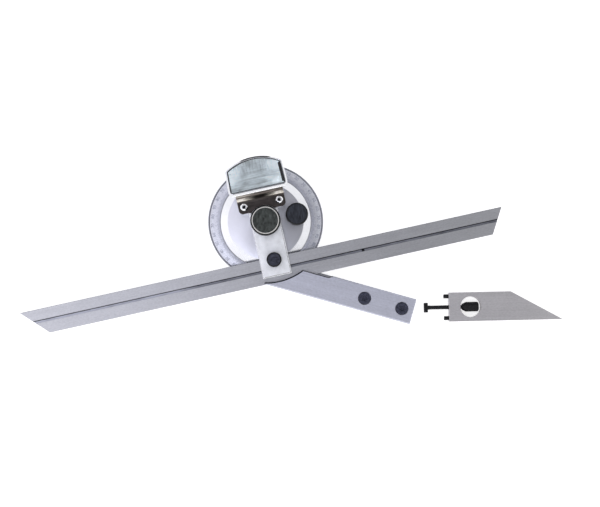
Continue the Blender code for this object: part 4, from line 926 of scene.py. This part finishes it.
def bars(angles, inner, outer, width, surface, rise):
    """Thin bars that lie along spokes: each is a box of eight points between two radii.

    Its points are (r, s, z) turned by the spoke's angle, with s half the width to either side
    and z on the surface's height at r, from a little below it to the rise above it.
    """
    angles, inner, outer = (np.broadcast_to(x, len(angles)) for x in (angles, inner, outer))
    side = np.array([-1, 1, 1, -1, -1, 1, 1, -1]) * width / 2
    far = np.array([0, 0, 1, 1, 0, 0, 1, 1])
    high = np.array([0, 0, 0, 0, 1, 1, 1, 1])
    radius = inner[:, None] + (outer - inner)[:, None] * far
    height = surface(radius) + (2 * high - 1) * rise
    cosine, sine = np.cos(angles)[:, None], np.sin(angles)[:, None]
    points = np.stack([radius * cosine - side * sine, radius * sine + side * cosine, height], axis=-1)
    box = np.array([[0, 3, 2, 1], [4, 5, 6, 7], [0, 1, 5, 4], [1, 2, 6, 5], [2, 3, 7, 6], [3, 0, 4, 7]])
    faces = (box[None] + 8 * np.arange(len(angles))[:, None, None]).reshape(-1, 4)
    return points.reshape(-1, 3), faces


def numeral(text, height, rise):
    """Points and faces of a numeral, centred on the origin and lying flat, as a thin plate."""
    curve = bpy.data.curves.new("numeral", "FONT")
    curve.body = text
    curve.size = height / 0.7
    curve.align_x, curve.align_y = "CENTER", "CENTER"
    curve.extrude = rise
    curve.resolution_u = 2
    writing = bpy.data.objects.new("numeral", curve)
    bpy.context.scene.collection.objects.link(writing)
    graph = bpy.context.evaluated_depsgraph_get()
    mesh = bpy.data.meshes.new_from_object(writing.evaluated_get(graph))
    points = np.empty(len(mesh.vertices) * 3, np.float32)
    mesh.vertices.foreach_get("co", points)
    faces = [tuple(face.vertices) for face in mesh.polygons]
    bpy.data.objects.remove(writing)
    bpy.data.curves.remove(curve)
    bpy.data.meshes.remove(mesh)
    return points.reshape(-1, 3).astype(float), faces


def numerals_round(texts, angles, radius, height, surface, rise):
    """Numerals that stand round the axis with their tops outward, following the surface's height."""
    known = {text: numeral(text, height, rise) for text in set(texts)}
    all_points, all_faces, count = [], [], 0
    for text, angle in zip(texts, angles):
        points, faces = known[text]
        turned_in = placed(points + np.array([0, radius, 0]), angle - math.pi / 2)
        turned_in[:, 2] += surface(np.hypot(turned_in[:, 0], turned_in[:, 1]))
        all_points.append(turned_in)
        all_faces += [tuple(corner + count for corner in face) for face in faces]
        count += len(points)
    return np.concatenate(all_points), all_faces


def ring_height(radius):
    """The height of the dial ring's face, which falls a little towards its edge."""
    return DIAL_TOP - RING_FALL * (radius - RING_INNER) / (RING_OUTER - RING_INNER)


def bevel_height(radius):
    """The height of the vernier's bevel, a cone that falls from the plate to the dial's face."""
    return DIAL_TOP + (PLATE_TOP - DIAL_TOP) * (BEVEL_OUTER - radius) / (BEVEL_OUTER - BEVEL_INNER)


class PROTRACTOR_OT_graduations(bpy.types.Operator):
    """Fill the dial's degree lines and numerals, four times 0 to 90"""

    bl_idname = "protractor.graduations"
    bl_label = "Dial graduations"

    def execute(self, context):
        degree = np.arange(DEGREES)
        length = np.select([degree % 10 == 0, degree % 5 == 0], [2.9 * MM, 2.3 * MM], 1.6 * MM)
        inner = RING_INNER + 0.25 * MM
        points, faces = bars(np.radians(degree), inner, inner + length, sizes().line_width, ring_height,
                             sizes().line_rise)
        grey = finish_of(line_filling, "grey_cellulose_filling", colours().dial_ink)
        add_piece("dial_degree_lines", points, faces, "dial", grey)
        tens = np.arange(0, DEGREES, 10)
        texts = [str(number) for number in np.minimum(tens % 180, 180 - tens % 180)]
        points, faces = numerals_round(texts, np.radians(90 + tens), NUMERAL_RADIUS,
                                       sizes().numeral_height, ring_height, sizes().line_rise)
        add_piece("dial_numerals", points, faces, "dial", grey)
        return {"FINISHED"}


class PROTRACTOR_OT_vernier(bpy.types.Operator):
    """Fill the vernier's lines and numerals on the bevel of the turret"""

    bl_idname = "protractor.vernier"
    bl_label = "Vernier"

    def execute(self, context):
        place = np.arange(VERNIER_DIVISIONS + 1)
        angles = SWIVEL + math.pi / 2 + VERNIER_SPREAD * (place / VERNIER_DIVISIONS - 0.5)
        length = np.where(place % 3 == 0, 2.0 * MM, 1.3 * MM)
        outer = BEVEL_OUTER - 0.1 * MM
        points, faces = bars(angles, outer - length, outer, sizes().line_width, bevel_height,
                             sizes().line_rise)
        add_piece("vernier_lines", points, faces, "turret", ink())
        texts = ["60", "30", "0", "30", "60"]
        points, faces = numerals_round(texts, angles[::6], VERNIER_NUMERAL_RADIUS,
                                       sizes().vernier_numeral_height, bevel_height, sizes().line_rise)
        add_piece("vernier_numerals", points, faces, "turret", ink())
        return {"FINISHED"}


class PROTRACTOR_OT_turret(bpy.types.Operator):
    """Finish the turret's plate and its arm"""

    bl_idname = "protractor.turret"
    bl_label = "Turret and arm"

    def execute(self, context):
        satin = finish_of(turned_chrome, "turned_satin_chrome_of_plate", colours().plate, 0.30, 0.35 * MM,
                          0.5, 2.6)
        bright = finish_of(turned_chrome, "turned_bright_chrome_of_bevel", colours().bevel, 0.22,
                           0.35 * MM, 0.4)
        plate = eased_copy("turret_plate", "turret", satin, easing=0.03 * MM, crease=3)
        refinish(plate, bright, lambda middles, normals: (0.8 < normals[:, 2]) & (normals[:, 2] < 0.99))
        arm = finish_of(satin_arm, "blasted_satin_chrome_of_arm", colours().arm)
        chrome = finish_of(bright_chrome, "polished_chrome_plate", colours().chrome)
        eased_copy("turret_arm", "turret", arm, easing=0.42 * MM, edge_finish=chrome)
        return {"FINISHED"}


class PROTRACTOR_OT_blade(bpy.types.Operator):
    """Finish the ground blade with its groove"""

    bl_idname = "protractor.blade"
    bl_label = "Blade"

    def execute(self, context):
        steel = finish_of(ground_steel, "ground_steel_of_blade", colours().blade, SWIVEL)
        blade = eased_copy("blade", "blade", steel, easing=0.04 * MM)
        across = sideways(SWIVEL)
        edge = 0.1 * MM

        def in_groove(middles, normals):
            from_middle = np.abs(middles @ across - GROOVE_FROM_AXIS)
            height = middles[:, 2]
            return ((from_middle < GROOVE_WIDTH / 2 + edge) & (height > BLADE_TOP - GROOVE_DEPTH - edge)
                    & (height < BLADE_TOP - edge) & (np.hypot(normals @ across, normals[:, 2]) > 0.9))

        # The groove's faces take the milled finish with its painted shade.
        refinish(blade, finish_of(milled_groove, "milled_groove_with_old_oil", colours().groove, SWIVEL),
                 in_groove)
        # Painted shade: the blade's upper long wall is darkened.
        refinish(blade, finish_of(machined_metal, "lapped_edge_of_blade", colours().edge, 0.2),
                 long_wall(SWIVEL, BLADE_UPPER_SIDE))
        return {"FINISHED"}


class PROTRACTOR_OT_stock(bpy.types.Operator):
    """Finish the stock's front bar and spacer and make its two socket screws"""

    bl_idname = "protractor.stock"
    bl_label = "Stock"

    def execute(self, context):
        steel = finish_of(ground_stock, "ground_steel_of_stock", colours().stock)
        bar = eased_copy("stock_front_bar", "dial", steel)
        # Painted shade: the bar's upper walls and relief chamfer are darkened.
        refinish(bar, finish_of(machined_metal, "lapped_edge_of_stock", colours().edge, 0.2),
                 self.dark_edges)
        eased_copy("stock_spacer", "dial", steel)
        for node, at in zip(("stock_screw_inner", "stock_screw_outer"), STOCK_SCREWS_AT):
            low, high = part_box(node)
            points, faces = socket_screw(low.z, high.z, 1.3 * MM, 3.75 * MM, 1.5 * MM, 3.0 * MM, 0.9 * MM,
                                         0.35 * MM)
            screw = add_piece(f"{node}_head", placed(points, at=(*at, 0)), faces, "dial",
                              oxide(), (node,))
            refinish(screw, finish_of(black_oxide, "black_oxide_of_screw_heads", colours().screw_heads,
                                      (0.9, 0.9, 0.9), 0.4),
                     lambda middles, normals: (middles[:, 2] > high.z - 1.2 * MM) & (normals[:, 2] > 0.6))
        return {"FINISHED"}

    @staticmethod
    def dark_edges(middles, normals):
        """The bar's upper walls, and the chamfer along its relief, which take painted shade."""
        walls = (normals[:, 1] > 0.3) & (np.abs(normals[:, 2]) < 0.3)
        chamfer = (np.abs(normals[:, 2] - 0.7) < 0.25) & (middles[:, 0] < 50 * MM)
        return walls | chamfer


def socket_screw(low, high, head, head_radius, shank_radius, across_flats, depth, crown):
    """A screw with a low head, a crowned rim and a hexagon socket, as one turned surface."""
    inside = across_flats / 2
    profile = eased([
        (0, low, 0), (shank_radius, low, 0.2 * MM), (shank_radius, high - head, 0.1 * MM),
        (head_radius, high - head, 0.1 * MM), (head_radius, high - crown, crown / 2),
        (head_radius - crown, high, crown / 2), (inside + 0.25 * MM, high, 0.05 * MM),
    ])
    socket = np.array([(inside, high - 0.12 * MM), (inside, high - depth), (0, high - depth * 1.15)])
    return turned(np.concatenate([profile, socket]), 96, hexagon(across_flats, inside))


class PROTRACTOR_OT_lock_knob(bpy.types.Operator):
    """Knurl the lock knob and lay the bright line in its face"""

    bl_idname = "protractor.lock_knob"
    bl_label = "Lock knob"

    def execute(self, context):
        low, high = (corner.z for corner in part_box("lock_knob"))
        radius, line = 9.25 * MM, 7.95 * MM
        half_line, line_depth = 0.32 * MM, 0.3 * MM
        recess, bore, thread = 6.2 * MM, 3.1 * MM, 3.9 * MM
        profile = eased([
            (0, low + thread, 0), (bore, low + thread, 0.1 * MM), (bore, low + 1.05 * MM, 0),
            (recess, low + 1.05 * MM, 0), (recess, low, 0.1 * MM), (radius - 0.5 * MM, low, 0.1 * MM),
            (radius, low + 0.5 * MM, 0.15 * MM), (radius, high - 0.7 * MM, 0.3 * MM),
            (radius - 0.7 * MM, high - 0.05 * MM, 0.15 * MM),
            (line + half_line, high - 0.02 * MM, 0.05 * MM),
            (line + half_line, high - line_depth, 0.05 * MM),
            (line - half_line, high - line_depth, 0.05 * MM), (line - half_line, high, 0.05 * MM),
            (line * 0.6, high - 0.08 * MM, 0.6 * MM), (0, high - 0.2 * MM, 0),
        ])
        face = finish_of(black_oxide, "brushed_black_oxide_of_lock_knob", colours().lock_face,
                         (1.2, 2.4, 2), 0.4)
        knurled_knob("lock_knob", "lock", profile, radius, face, line - half_line, turn=0.0)
        ring = eased([
            (line - half_line + 0.02 * MM, high - line_depth + 0.02 * MM, 0),
            (line + half_line - 0.02 * MM, high - line_depth + 0.02 * MM, 0),
            (line + half_line - 0.02 * MM, high - 0.04 * MM, 0.22 * MM),
            (line - half_line + 0.02 * MM, high - 0.04 * MM, 0.22 * MM),
        ], 6)
        points, faces = turned(ring, 160, closed=True)
        inlay = finish_of(machined_metal, "turned_nickel_inlay", colours().inlay, 0.5)
        add_piece("lock_knob_bright_line", points, faces, "lock", inlay)
        return {"FINISHED"}


class PROTRACTOR_OT_fine_knob(bpy.types.Operator):
    """Knurl the fine adjustment knob"""

    bl_idname = "protractor.fine_knob"
    bl_label = "Fine adjustment knob"

    def execute(self, context):
        low, high = (corner.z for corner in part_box("fine_adjust_knob"))
        radius, bore, hub = 6.85 * MM, 1.6 * MM, 3.3 * MM
        roof = high - 1.1 * MM
        profile = eased([
            (0, roof, 0), (bore, roof, 0.1 * MM), (bore, low, 0.1 * MM), (hub, low, 0.1 * MM),
            (hub, low + 0.5 * MM, 0), (radius - 0.45 * MM, low + 0.5 * MM, 0.1 * MM),
            (radius, low + 0.95 * MM, 0.15 * MM), (radius, high - 0.6 * MM, 0.25 * MM),
            (radius - 0.7 * MM, high, 0.25 * MM), (radius * 0.45, high - 0.05 * MM, 0.4 * MM),
            (0, high - 0.15 * MM, 0),
        ])
        face = finish_of(black_oxide, "brushed_black_oxide_of_fine_knob", colours().fine_face,
                         (0.9, 3.5, 2), 0.4)
        knurled_knob("fine_adjust_knob", "fine_adjust", profile, radius, face, radius - 0.9 * MM,
                     FINE_KNOB_AT)
        return {"FINISHED"}


class PROTRACTOR_OT_clamp_knob(bpy.types.Operator):
    """Knurl the blade clamp's knob"""

    bl_idname = "protractor.clamp_knob"
    bl_label = "Blade clamp knob"

    def execute(self, context):
        low, high = (corner.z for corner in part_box("clamp_knob"))
        radius, bore = 4.6 * MM, 1.5 * MM
        profile = eased([
            (0, low + 2.85 * MM, 0), (bore, low + 2.85 * MM, 0.1 * MM), (bore, low, 0.1 * MM),
            (radius - 0.4 * MM, low, 0.1 * MM), (radius, low + 0.4 * MM, 0.15 * MM),
            (radius, high - 0.5 * MM, 0.2 * MM), (radius - 0.6 * MM, high, 0.25 * MM),
            (radius * 0.62, high, 0.2 * MM), (radius * 0.5, high - 0.22 * MM, 0.2 * MM),
            (0, high - 0.18 * MM, 0),
        ])
        face = finish_of(black_oxide, "turned_black_oxide_of_clamp_knob", colours().clamp_face,
                         (1.6, 1.0, 2), 0.4)
        knurled_knob("clamp_knob", "clamp", profile, radius, face, radius - 0.8 * MM, CLAMP_KNOB_AT)
        return {"FINISHED"}


class PROTRACTOR_OT_inner_parts(bpy.types.Operator):
    """Give the parts inside the dial and under the knobs their finishes"""

    bl_idname = "protractor.inner_parts"
    bl_label = "Inner parts"

    def execute(self, context):
        hardened = finish_of(machined_metal, "hardened_steel_as_machined", colours().hardened)
        bronze = finish_of(machined_metal, "bearing_bronze_as_machined", colours().bronze)
        give_finish(hardened, "ring_gear", "spindle", "thrust_washer", "disc_spring", "pinion_shaft",
                    "clamp_screw", "clamp_shoe")
        give_finish(bronze, "turret_bush", "pinion_bush")
        return {"FINISHED"}


def lens_swell(across):
    """The share of the glass's crown at a distance from the axis: 1 - v^2, with v over half its height."""
    return np.clip(1 - ((across - LENS_MIDDLE) / LENS_HALF) ** 2, 0, 1)


class PROTRACTOR_OT_magnifier(bpy.types.Operator):
    """Finish the bracket and make its screws, the lens frame and the glass"""

    bl_idname = "protractor.magnifier"
    bl_label = "Magnifier"

    def execute(self, context):
        bronzed = finish_of(bronzed_steel, "bronzed_spring_steel", colours().bracket)
        self.make_bracket(bronzed)
        chrome = finish_of(bright_chrome, "polished_chrome_plate", colours().chrome)
        for node, at in zip(("bracket_screw_left", "bracket_screw_right"), BRACKET_SCREWS_AT):
            low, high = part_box(node)
            points, faces = socket_screw(low.z, high.z, 1.2 * MM, 2.35 * MM, 1.1 * MM, 1.7 * MM, 0.8 * MM,
                                         0.75 * MM)
            screw = add_piece(f"{node}_head", on_turret(points, at), faces, "turret",
                              chrome, (node,))
            # Painted shade: the socket takes the black oxide, dark as the shade in the hole.
            refinish(screw, oxide(), upper_face(on_turret(np.zeros((1, 3)), at)[0], 1.0 * MM, 1.0 * MM))
        self.make_frame(chrome)
        self.make_glass()
        self.make_edge_paint()
        return {"FINISHED"}

    @staticmethod
    def make_bracket(bronzed):
        """The bent sheet: a closed section round its thickness, carried across its width.

        At the share u of the width, x = half u. The section follows the bent line from the front edge,
        which is the larger of the lug's rounded end and the circle round the knob, to the tab's end,
        and the sheet stands half its thickness to either side of that line.
        """
        half_sheet = 0.4 * MM
        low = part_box("magnifier_bracket")[0].z + half_sheet
        half, end, start, rise = 14.5 * MM, 20.0 * MM, 6.7 * MM, 3.3 * MM
        circle, fillet = 9.65 * MM, 2.6 * MM
        bend = eased([(start, low - rise, 0), (start, low, 0), (14.55 * MM, low, 1.8 * MM),
                      (16.95 * MM, low + rise, 1.5 * MM), (end, low + rise, 0)], 9)
        bend = bend[bend[:, 0] > 12 * MM]
        bend = bend[np.append(True, np.linalg.norm(np.diff(bend, axis=0), axis=1) > 1e-7)]
        across = half * np.sin(np.linspace(-math.pi / 2, math.pi / 2, 97))
        from_corner = np.clip(np.abs(across) - (half - fillet), 0, fillet)
        rounded = start + fillet - np.sqrt(fillet ** 2 - from_corner ** 2)
        front = np.maximum(rounded, np.sqrt(np.clip(circle ** 2 - across ** 2, 0, None)))
        lead = np.linspace(0, 1, 9)[:-1]
        run = front[:, None] + (bend[0, 0] - front[:, None]) * lead
        line = np.concatenate([
            np.stack([run, np.full_like(run, low)], axis=2),
            np.broadcast_to(bend, (len(across), *bend.shape)),
        ], axis=1)
        along = np.gradient(line, axis=1)
        along /= np.linalg.norm(along, axis=2, keepdims=True)
        side = np.stack([-along[..., 1], along[..., 0]], axis=2) * half_sheet
        section = np.concatenate([line + side, (line - side)[:, ::-1]], axis=1)
        x = np.broadcast_to(across[:, None, None], (*section.shape[:2], 1))
        points = np.concatenate([x, section], axis=2)
        add_piece("bracket_sheet", on_turret(points.reshape(-1, 3)), capped_quads(*points.shape[:2]),
                  "turret", bronzed, ("magnifier_bracket",))

    @staticmethod
    def outline():
        """The glass's arched outline, 33.4 mm wide at its foot, as a loop of points.

        Straight sides with eased feet, in even steps, run up to an arc through two corners and the apex:
        (-R sin a, apex - R + R cos a), with R = (w^2 + rise^2) / (2 rise).
        """
        foot, side, apex = 19.8 * MM, 33.0 * MM, 37.6 * MM
        half_foot, half_head = 16.7 * MM, 16.2 * MM
        rise = apex - side
        radius = (half_head ** 2 + rise ** 2) / (2 * rise)
        swing = math.asin(half_head / radius)
        angle = np.linspace(-swing, swing, 40)[1:-1]
        arc = np.stack([-radius * np.sin(angle), apex - radius + radius * np.cos(angle), 0 * angle], axis=1)
        step = np.linspace(0.15, 0.9, 9)[:, None]
        rising = np.array([(half_foot, foot, 0)]) * (1 - step) + np.array([(half_head, side, 0)]) * step
        corners = np.concatenate([
            [(-half_foot, foot, 1.3 * MM), (half_foot, foot, 1.3 * MM)],
            rising,
            [(half_head, side, 0.8 * MM)],
            arc,
            [(-half_head, side, 0.8 * MM)],
            rising[::-1] * (-1, 1, 1),
        ])
        path = eased(corners, 6)
        return path[np.linalg.norm(path - np.roll(path, 1, 0), axis=1) > 1e-7]

    def make_frame(self, chrome):
        """The frame: a rounded wall and ledge, one section carried round the glass's outline.

        A section point (d, z) stands at path + normal d. Past the wall's inner side d is stretched
        where the outline faces the foot, so that the wall is wider there.
        """
        low, high = (corner.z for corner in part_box("lens_frame"))
        path = self.outline()
        normal = outward(path)
        inner, outer = 0.3 * MM, 1.5 * MM
        reach, ledge = -0.6 * MM, low + 0.7 * MM
        section = eased([
            (reach, low, 0.05 * MM), (outer, low, 0.2 * MM), (outer, high - 0.6 * MM, 0.15 * MM),
            (inner + 0.3 * MM, high, 0.15 * MM), (inner, high, 0.1 * MM), (inner, ledge, 0.05 * MM),
            (reach, ledge, 0.05 * MM),
        ], 5)
        footing = np.clip(-4 * normal[:, 1:] - 3, 0, 1)
        stretch = 1 + footing * 0.7 * MM / (outer - inner)
        offset = np.where(section[:, 0] > inner, inner + (section[:, 0] - inner) * stretch, section[:, 0])
        flat = path[:, None] + normal[:, None] * offset[:, :, None]
        height = np.broadcast_to(section[:, 1:], (len(path), *section[:, 1:].shape))
        points = np.concatenate([flat, height], axis=2).reshape(-1, 3)
        faces = grid_quads(len(path), len(section), wrap_rows=True)
        add_piece("lens_frame_bright", on_turret(points), faces, "turret", chrome,
                  ("lens_frame",), crease=40)

    def make_glass(self):
        """The glass: rings of the outline drawn in towards its middle, cylindrical above and below.

        With v the distance from the long middle line over half the height and q the ring's share of the
        outline, the upper face stands at rim + crown (1 - v^2) and the lower one hangs by
        2 crown (1 - v^2) (1 - q^6).
        """
        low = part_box("magnifier_lens")[0].z
        path = self.outline()
        middle = np.array([0, LENS_MIDDLE])
        rim, bevel = low + 2.1 * MM, 0.35 * MM
        share = np.sqrt(np.linspace(0, 1, 16))[:, None, None]
        crown = sizes().lens_crown

        def rings_at(edge, level, fall, fade):
            flat = middle + (edge - middle)[None] * share
            height = level + fall * lens_swell(flat[..., 1]) * (1 - fade * share[..., 0] ** 6)
            return np.concatenate([flat, height[..., None]], axis=2)

        under = rings_at(path, low, -2 * crown, 1)
        over = rings_at(path - outward(path) * bevel, rim + 0.15 * MM, crown, 0)[::-1]
        side = np.column_stack([path, np.full(len(path), rim - 0.1 * MM)])[None]
        points = np.concatenate([under, side, over])
        faces = grid_quads(len(points), len(path))
        glass = finish_of(hazed_acrylic, "hazed_cast_acrylic", colours().glass)
        add_piece("magnifier_glass", on_turret(points.reshape(-1, 3)), faces, "turret",
                  glass, ("magnifier_lens",), crease=25)

    def make_edge_paint(self):
        """The black paint on the glass's edge, 0.1 mm wide all round and broader at the right, the left and
        the upper left as painted shade where the edge shows dark.

        It reaches inward from the outline by a width that grows with the normal's turn to either side,
        and follows the glass's face: rim + crown (1 - v^2), a little proud of it.
        """
        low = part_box("magnifier_lens")[0].z
        path = self.outline()
        normal = outward(path)
        right = np.clip(normal[:, :1], 0, 1) ** 6
        left = np.clip(-normal[:, :1], 0, 1) ** 6
        upper_left = np.clip(-3 * normal[:, :1], 0, 1) * (normal[:, 1:] > 0.3)
        # Past 0.1 mm, the width is painted shade.
        width = 0.1 * MM + 1.5 * MM * right + 0.4 * MM * np.maximum(left, upper_left)
        outer, inner = path + normal * 0.1 * MM, path - normal * width
        under, over = low + 1.87 * MM, low + 2.27 * MM
        rows = [(edge, level + sizes().lens_crown * lens_swell(edge[:, 1]))
                for edge, level in ((inner, under), (outer, under), (outer, over), (inner, over))]
        points = np.stack([np.column_stack([edge, height]) for edge, height in rows], axis=1)
        faces = grid_quads(len(path), len(rows), wrap_rows=True)
        add_piece("lens_edge_paint_and_shade", on_turret(points.reshape(-1, 3)), faces, "turret",
                  finish_of(line_filling, "black_paint_on_lens_edge", colours().oxide))


class PROTRACTOR_OT_attachment(bpy.types.Operator):
    """Finish the acute angle block and make its thumb nut, T-bolt and pins"""

    bl_idname = "protractor.attachment"
    bl_label = "Acute angle attachment"

    def execute(self, context):
        steel = finish_of(ground_steel, "ground_steel_of_attachment", colours().block, LEAN, BLOCK_AT, 0.42)
        eased_copy("attachment_block", "dial", steel)
        self.make_nut()
        self.make_bolt()
        self.make_pins()
        return {"FINISHED"}

    def make_nut(self):
        """The thumb nut: a cone, a knurled barrel and a rounded end."""
        start, end = 8.1 * MM, 18.3 * MM
        radius, nose, bore = 2.95 * MM, 1.75 * MM, 1.45 * MM
        profile = eased([
            (bore, start, 0.1 * MM), (nose, start, 0.2 * MM), (radius, start + 2.3 * MM, 0.3 * MM),
            (radius, end - 0.7 * MM, 0.3 * MM), (radius - 0.7 * MM, end, 0.3 * MM), (bore, end, 0.1 * MM),
        ])
        points, faces = knurled(profile, radius, 0.18 * MM, closed=True)
        add_piece("thumb_nut_knurled", on_block(points), faces, "thumb_nut", oxide(),
                  ("thumb_nut",))

    def make_bolt(self):
        """The T-bolt: a threaded shank and a head with eased edges.

        The shank's radius is r - d (1 - cos(2 pi z / p - a)) / 2, a single thread of pitch p.
        """
        radius, neck, tail = 1.3 * MM, -12.9 * MM, 16.6 * MM
        pitch, depth = sizes().thread_pitch, 0.16 * MM

        def thread(angle, plain, height):
            share = np.clip((height - neck - 2 * pitch) / pitch, 0, 1) * (plain > radius / 2)
            return plain - share * depth * (1 - np.cos(2 * math.pi * height / pitch - angle)) / 2

        height = np.arange(neck, tail, pitch / 6)
        height = np.concatenate([[neck], height, [tail, tail]])
        profile = np.column_stack([np.full(len(height), radius), height])
        profile[[0, -1], 0] = 0
        profile[-2, 0] = radius * 0.85
        points, faces = turned(profile, 18, thread)
        add_piece("t_bolt_shank", on_block(points), faces, "t_bolt", oxide(), ("t_bolt",))
        half_height, half_length = 1.5 * MM, 2.95 * MM
        outline = eased([(-half_height, -half_length, 0.3 * MM), (half_height, -half_length, 0.3 * MM),
                         (half_height, half_length, 0.3 * MM), (-half_height, half_length, 0.3 * MM)])
        points, faces = slab(outline, -15.1 * MM, -12.7 * MM, 0.3 * MM)
        add_piece("t_bolt_head", on_block(points), faces, "t_bolt", oxide())

    def make_pins(self):
        """The two locating pins with their eased ends."""
        radius, start, end = 1.25 * MM, -3.0 * MM, 4.0 * MM
        profile = eased([
            (0, start, 0), (radius, start, 0.35 * MM), (radius, end, 0.1 * MM), (0, end, 0),
        ])
        points, faces = turned(profile, 48)
        for node, y in (("locating_pin_upper", 6.65 * MM), ("locating_pin_lower", -6.65 * MM)):
            add_piece(f"{node}_eased", on_block(points, y), faces, "dial", oxide(), (node,))


class PROTRACTOR_PT_panel(bpy.types.Panel):
    """Lists the protractor's pieces, sizes and colours"""

    bl_idname = "PROTRACTOR_PT_panel"
    bl_label = "Bevel protractor"
    bl_space_type = "VIEW_3D"
    bl_region_type = "UI"
    bl_category = "Protractor"

    def draw(self, context):
        for operator in OPERATORS:
            self.layout.operator(operator.bl_idname)
        for settings in (context.scene.protractor_sizes, context.scene.protractor_colours):
            box = self.layout.box()
            for setting in settings.__annotations__:
                box.prop(settings, setting)


OPERATORS = (
    PROTRACTOR_OT_stage, PROTRACTOR_OT_inner_parts, PROTRACTOR_OT_dial, PROTRACTOR_OT_graduations,
    PROTRACTOR_OT_stock, PROTRACTOR_OT_turret, PROTRACTOR_OT_vernier, PROTRACTOR_OT_blade,
    PROTRACTOR_OT_lock_knob, PROTRACTOR_OT_fine_knob, PROTRACTOR_OT_clamp_knob, PROTRACTOR_OT_magnifier,
    PROTRACTOR_OT_attachment,
)
CLASSES = (ProtractorSizes, ProtractorColours, *OPERATORS, PROTRACTOR_PT_panel)


def register():
    """Register the classes and hang the settings on the scene."""
    for kind in CLASSES:
        bpy.utils.register_class(kind)
    bpy.types.Scene.protractor_sizes = bpy.props.PointerProperty(type=ProtractorSizes)
    bpy.types.Scene.protractor_colours = bpy.props.PointerProperty(type=ProtractorColours)


def unregister():
    """Take the settings off the scene and unregister the classes."""
    del bpy.types.Scene.protractor_sizes
    del bpy.types.Scene.protractor_colours
    for kind in reversed(CLASSES):
        bpy.utils.unregister_class(kind)


def main():
    """Build the scene piece by piece."""
    register()
    for operator in OPERATORS:
        group, name = operator.bl_idname.split(".")
        getattr(getattr(bpy.ops, group), name)()


if __name__ == "__main__":
    main()
